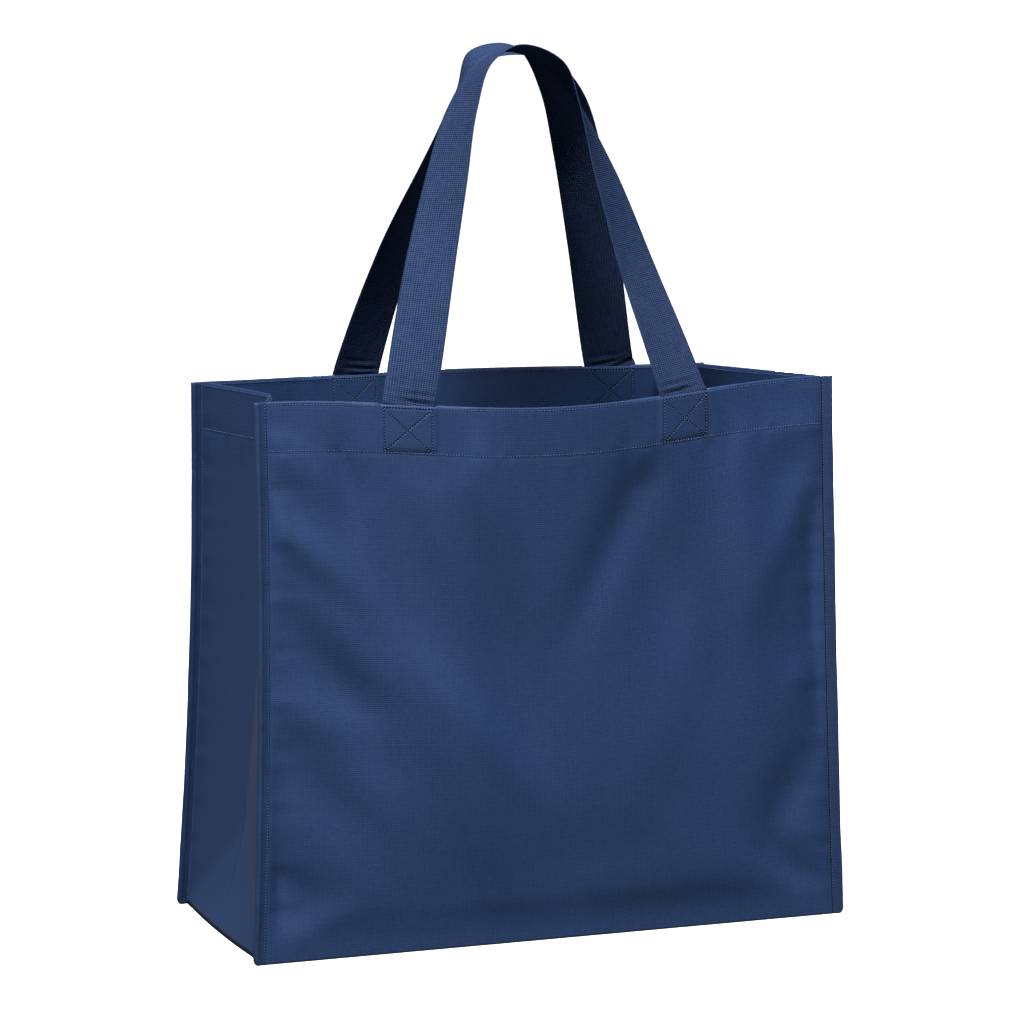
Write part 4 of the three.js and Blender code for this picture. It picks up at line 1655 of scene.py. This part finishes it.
@dataclass(frozen=True)
class Seamwork:
    """All the stitching: fins, hems, mouth edges and the crossed boxes on the webbing ends."""

    shape: BagShape
    places: BoxStitch = BoxStitch()
    thread: Stitching = Stitching()
    half_cloth: float = 0.25
    wall_end: float = 0.004
    inner_end: float = 0.013
    wall_samples: int = 500
    gusset_end: float = 0.02
    gusset_inner_end: float = 0.05
    gusset_samples: int = 300
    box_samples: int = 60
    fin_start: float = 2.5
    fin_stop: float = 1.2
    fin_samples: int = 700

    def wall_rows(self, work: ThreadWork, face: int, across: Array, below: Array) -> None:
        """Adds a row on the outer layer of a wall's hem and one on its turned-in layer.

        Args:
            work: The stitching that takes the rows.
            face: -1 at the front, 1 at the back.
            across: Shares across the wall.
            below: Distances below the mouth edge.
        """
        within = np.clip(across, self.inner_end, 1 - self.inner_end)
        out = np.array([0, face, 0])
        work.row(lambda a, b: self.shape.outer(face, a, b), across, below, out, self.half_cloth)
        work.row(lambda a, b: self.shape.inner(face, a, b), within, below, -out, self.half_cloth)

    def hems(self) -> ThreadWork:
        """Rows along the hems of the walls and gussets, outside and inside."""
        shape, work = self.shape, ThreadWork("hem", self.thread)
        across = np.linspace(self.wall_end, 1 - self.wall_end, self.wall_samples)
        for face in (-1, 1):
            for below in (self.places.hem_line, self.places.edge_line):
                self.wall_rows(work, face, across, np.full_like(across, below))
        share = np.linspace(self.gusset_end, 1 - self.gusset_end, self.gusset_samples)
        within = np.clip(share, self.gusset_inner_end, 1 - self.gusset_inner_end)
        for side in (-1, 1):
            for below in (self.places.hem_line, self.places.edge_line):
                level = np.full_like(share, below)

                def outer(a: Array, b: Array) -> Array:
                    """Outer layer of the gusset's hem."""
                    return shape.gusset(side, a, shape.gusset_top(side, a) - b)

                def inner(a: Array, b: Array) -> Array:
                    """Turned-in layer of the gusset's hem."""
                    return outer(a, b) - np.array([side * shape.hem_step, 0, 0])

                work.row(outer, share, level, np.array([side, 0, 0]), self.half_cloth)
                work.row(inner, within, level, np.array([-side, 0, 0]), self.half_cloth)
        return work

    def boxes(self) -> ThreadWork:
        """Crossed boxes over the four webbing ends, outside and inside."""
        shape, work = self.shape, ThreadWork("webbing_box", self.thread)
        half, top, bottom = self.places.half_width, self.places.top, self.places.bottom
        corners = [(-half, top), (half, top), (half, bottom), (-half, bottom)]
        lines = [(corners[i], corners[(i + 1) % 4]) for i in range(4)]
        lines += [(corners[0], corners[2]), (corners[1], corners[3])]
        run = np.linspace(0, 1, self.box_samples)
        for face in (-1, 1):
            for side in (-1, 1):
                foot = shape.handle(face).foot(side) + side * self.places.outward
                for start, end in lines:
                    x = foot + mix(start[0], end[0], run)
                    below = mix(start[1], end[1], run)
                    self.wall_rows(work, face, shape.across_below(face, x, below), below)
        return work

    def fins(self, fins: list[Fin], row: FinRow) -> ThreadWork:
        """Rows up both sides of each fin.

        Args:
            fins: The four fins.
            row: The thread and where it runs.

        Returns:
            The rows.
        """
        work = ThreadWork(row.name, row.stitching)
        for fin in fins:
            top = self.shape.seam_top(fin.side.value, fin.face.value)
            z = np.linspace(self.fin_start, top - self.fin_stop, self.fin_samples)
            for depth, facing in ((row.wall_depth, 1), (row.gusset_depth, -1)):
                work.row(lambda a, b: fin.surface(a, depth, b), np.full_like(z, row.outward), z,
                         np.array([0, facing * fin.face.value, 0]), 0.0)
        return work


# ---- Studio ------------------------------------------------------------------------------------


@dataclass(frozen=True)
class SoftLight:
    """A square soft light: where it stands, the length of its sides in metres, and its watts.

    It faces the middle of the bag. Where shines is False, it doesn't show in the cloth's sheen.
    """

    name: str
    place: Place
    size: float
    power: float
    shines: bool = True


@dataclass(frozen=True)
class Studio:
    """Pale floor, soft light and the camera."""

    camera_place: Place = (-1.1164, -3.0337, 0.7924)
    camera_aim: Place = (0.0028, 0.0, 0.2987)
    lens: float = 156.55
    sensor_width: float = 36.0
    sight: float = 200.0
    lights: tuple[SoftLight, ...] = (
        SoftLight("key_light", (-0.92, -1.32, 3.90), 1.0, 370.0),
        SoftLight("side_light", (0.3, -3.0, 0.9), 1.2, 9.0),
        SoftLight("back_light", (1.3, 3.1, 0.30), 0.6, 60.0, shines=False),
    )
    light_aim: Place = (0.0, 0.0, 0.25)
    all_round: float = 0.05
    overhead: float = 0.28
    overhead_power: float = 2.0
    from_floor: float = 0.20
    floor_radius: float = 40.0
    floor_corners: int = 96
    floor_shade: float = 0.93
    floor_specular: float = 0.1
    floor_glow: float = 0.92
    floor_grain: float = 3.0
    floor_roughness: tuple[float, float] = (0.75, 0.85)

    def floor(self) -> None:
        """A wide pale disc under the bag."""
        turn = np.linspace(0, 2 * np.pi, self.floor_corners, endpoint=False)
        ring = np.stack([np.cos(turn), np.sin(turn), np.zeros_like(turn)], axis=-1) * self.floor_radius
        mesh = bpy.data.meshes.new("floor")
        mesh.from_pydata(ring.tolist(), [], [list(range(len(ring)))])
        made = bpy.data.materials.new("pale_floor")
        made.use_nodes = True
        graph = Graph(made.node_tree)
        place = graph.add("ShaderNodeTexCoord").outputs["Object"]
        noise = graph.add("ShaderNodeTexNoise", {"Vector": place, "Scale": self.floor_grain})
        rough = graph.add("ShaderNodeMapRange", {"Value": noise.outputs[0], "To Min": self.floor_roughness[0],
                                                 "To Max": self.floor_roughness[1]})
        shader = graph.add("ShaderNodeBsdfPrincipled", {
            "Base Color": (self.floor_shade,) * 3 + (1,), "Roughness": rough.outputs[0],
            "Specular IOR Level": self.floor_specular, "Emission Color": (1, 1, 1, 1),
            "Emission Strength": self.floor_glow,
        })
        graph.add("ShaderNodeOutputMaterial", {"Surface": shader.outputs[0]})
        mesh.materials.append(made)
        disc = bpy.data.objects.new("floor", mesh)
        bpy.context.scene.collection.objects.link(disc)
        disc.visible_diffuse = False
        disc.visible_glossy = False

    def dome(self) -> None:
        """Even light from all round, stronger overhead as a power of the height of its direction.

        From below comes the light that a pale floor would throw back, in step with the depth of
        its direction.
        """
        world = bpy.data.worlds.new("studio")
        world.use_nodes = True
        graph = Graph(world.node_tree)
        way = graph.add("ShaderNodeTexCoord").outputs["Generated"]
        up = graph.add("ShaderNodeSeparateXYZ", {0: way}).outputs[2]
        above = graph.math("POWER", graph.math("MAXIMUM", up, 0.0), self.overhead_power)
        strength = graph.math("MULTIPLY_ADD", above, self.overhead, self.all_round)
        below = graph.math("MAXIMUM", graph.math("MULTIPLY", up, -1.0), 0.0)
        strength = graph.math("MULTIPLY_ADD", below, self.from_floor, strength)
        seen = graph.add("ShaderNodeLightPath").outputs["Is Camera Ray"]
        strength = graph.math("MAXIMUM", strength, seen)
        even = graph.add("ShaderNodeBackground", {"Color": (1, 1, 1, 1), "Strength": strength})
        graph.add("ShaderNodeOutputWorld", {"Surface": even.outputs[0]})
        bpy.context.scene.world = world

    def light(self, soft: SoftLight) -> None:
        """Puts up one of the lights."""
        data = bpy.data.lights.new(soft.name, "AREA")
        data.shape = "SQUARE"
        data.size = soft.size
        data.energy = soft.power
        lamp = bpy.data.objects.new(soft.name, data)
        lamp.location = soft.place
        lamp.visible_glossy = soft.shines
        self.face_point(lamp, self.light_aim)
        bpy.context.scene.collection.objects.link(lamp)

    def face_point(self, item: bpy.types.Object, point: Place) -> None:
        """Turns a light or a camera to face a point, upright."""
        away = np.array(item.location) - np.array(point)
        away /= np.linalg.norm(away)
        level = math.hypot(away[0], away[1])
        item.rotation_euler = (math.atan2(level, away[2]), 0.0, math.atan2(away[0], -away[1]))

    def camera(self) -> None:
        """The camera at the photograph's angle."""
        data = bpy.data.cameras.new("camera")
        data.lens = self.lens
        data.sensor_width = self.sensor_width
        data.clip_end = self.sight
        eye = bpy.data.objects.new("camera", data)
        eye.location = self.camera_place
        self.face_point(eye, self.camera_aim)
        bpy.context.scene.collection.objects.link(eye)
        bpy.context.scene.camera = eye

    def build(self) -> None:
        """Makes the floor, the lights, the even background light and the camera."""
        self.floor()
        for soft in self.lights:
            self.light(soft)
        self.dome()
        bpy.context.scene.view_settings.view_transform = "Standard"
        self.camera()


# ---- The whole bag -----------------------------------------------------------------------------


def main() -> None:
    """Builds the studio and every piece of the bag, in order."""
    logging.basicConfig(level=logging.INFO, format="%(name)s: %(message)s")
    Studio().build()
    shape, finishes = BagShape(), Finishes.made()
    cloth = MainCloth(shape).build(finishes)
    gussets = [Gusset(shape, side).build(finishes) for side in Side]
    fins = [Fin(shape, side, face) for side in Side for face in Face]
    fin_pieces = [fin.build(finishes) for fin in fins]
    sewing = Seamwork(shape)
    hems = sewing.hems().made(finishes, Slot.CLOTH)
    sewing.boxes().made(finishes, Slot.WEBBING)
    for row in (SEAM_ROW, EDGE_ROW):
        sewing.fins(fins, row).made(finishes, Slot.CLOTH)
    WebbingHandle(shape, FRONT_HANDLE, "front_handle").build(finishes)
    WebbingHandle(shape, BACK_HANDLE, "back_handle").build(finishes)


if __name__ == "__main__":
    main()
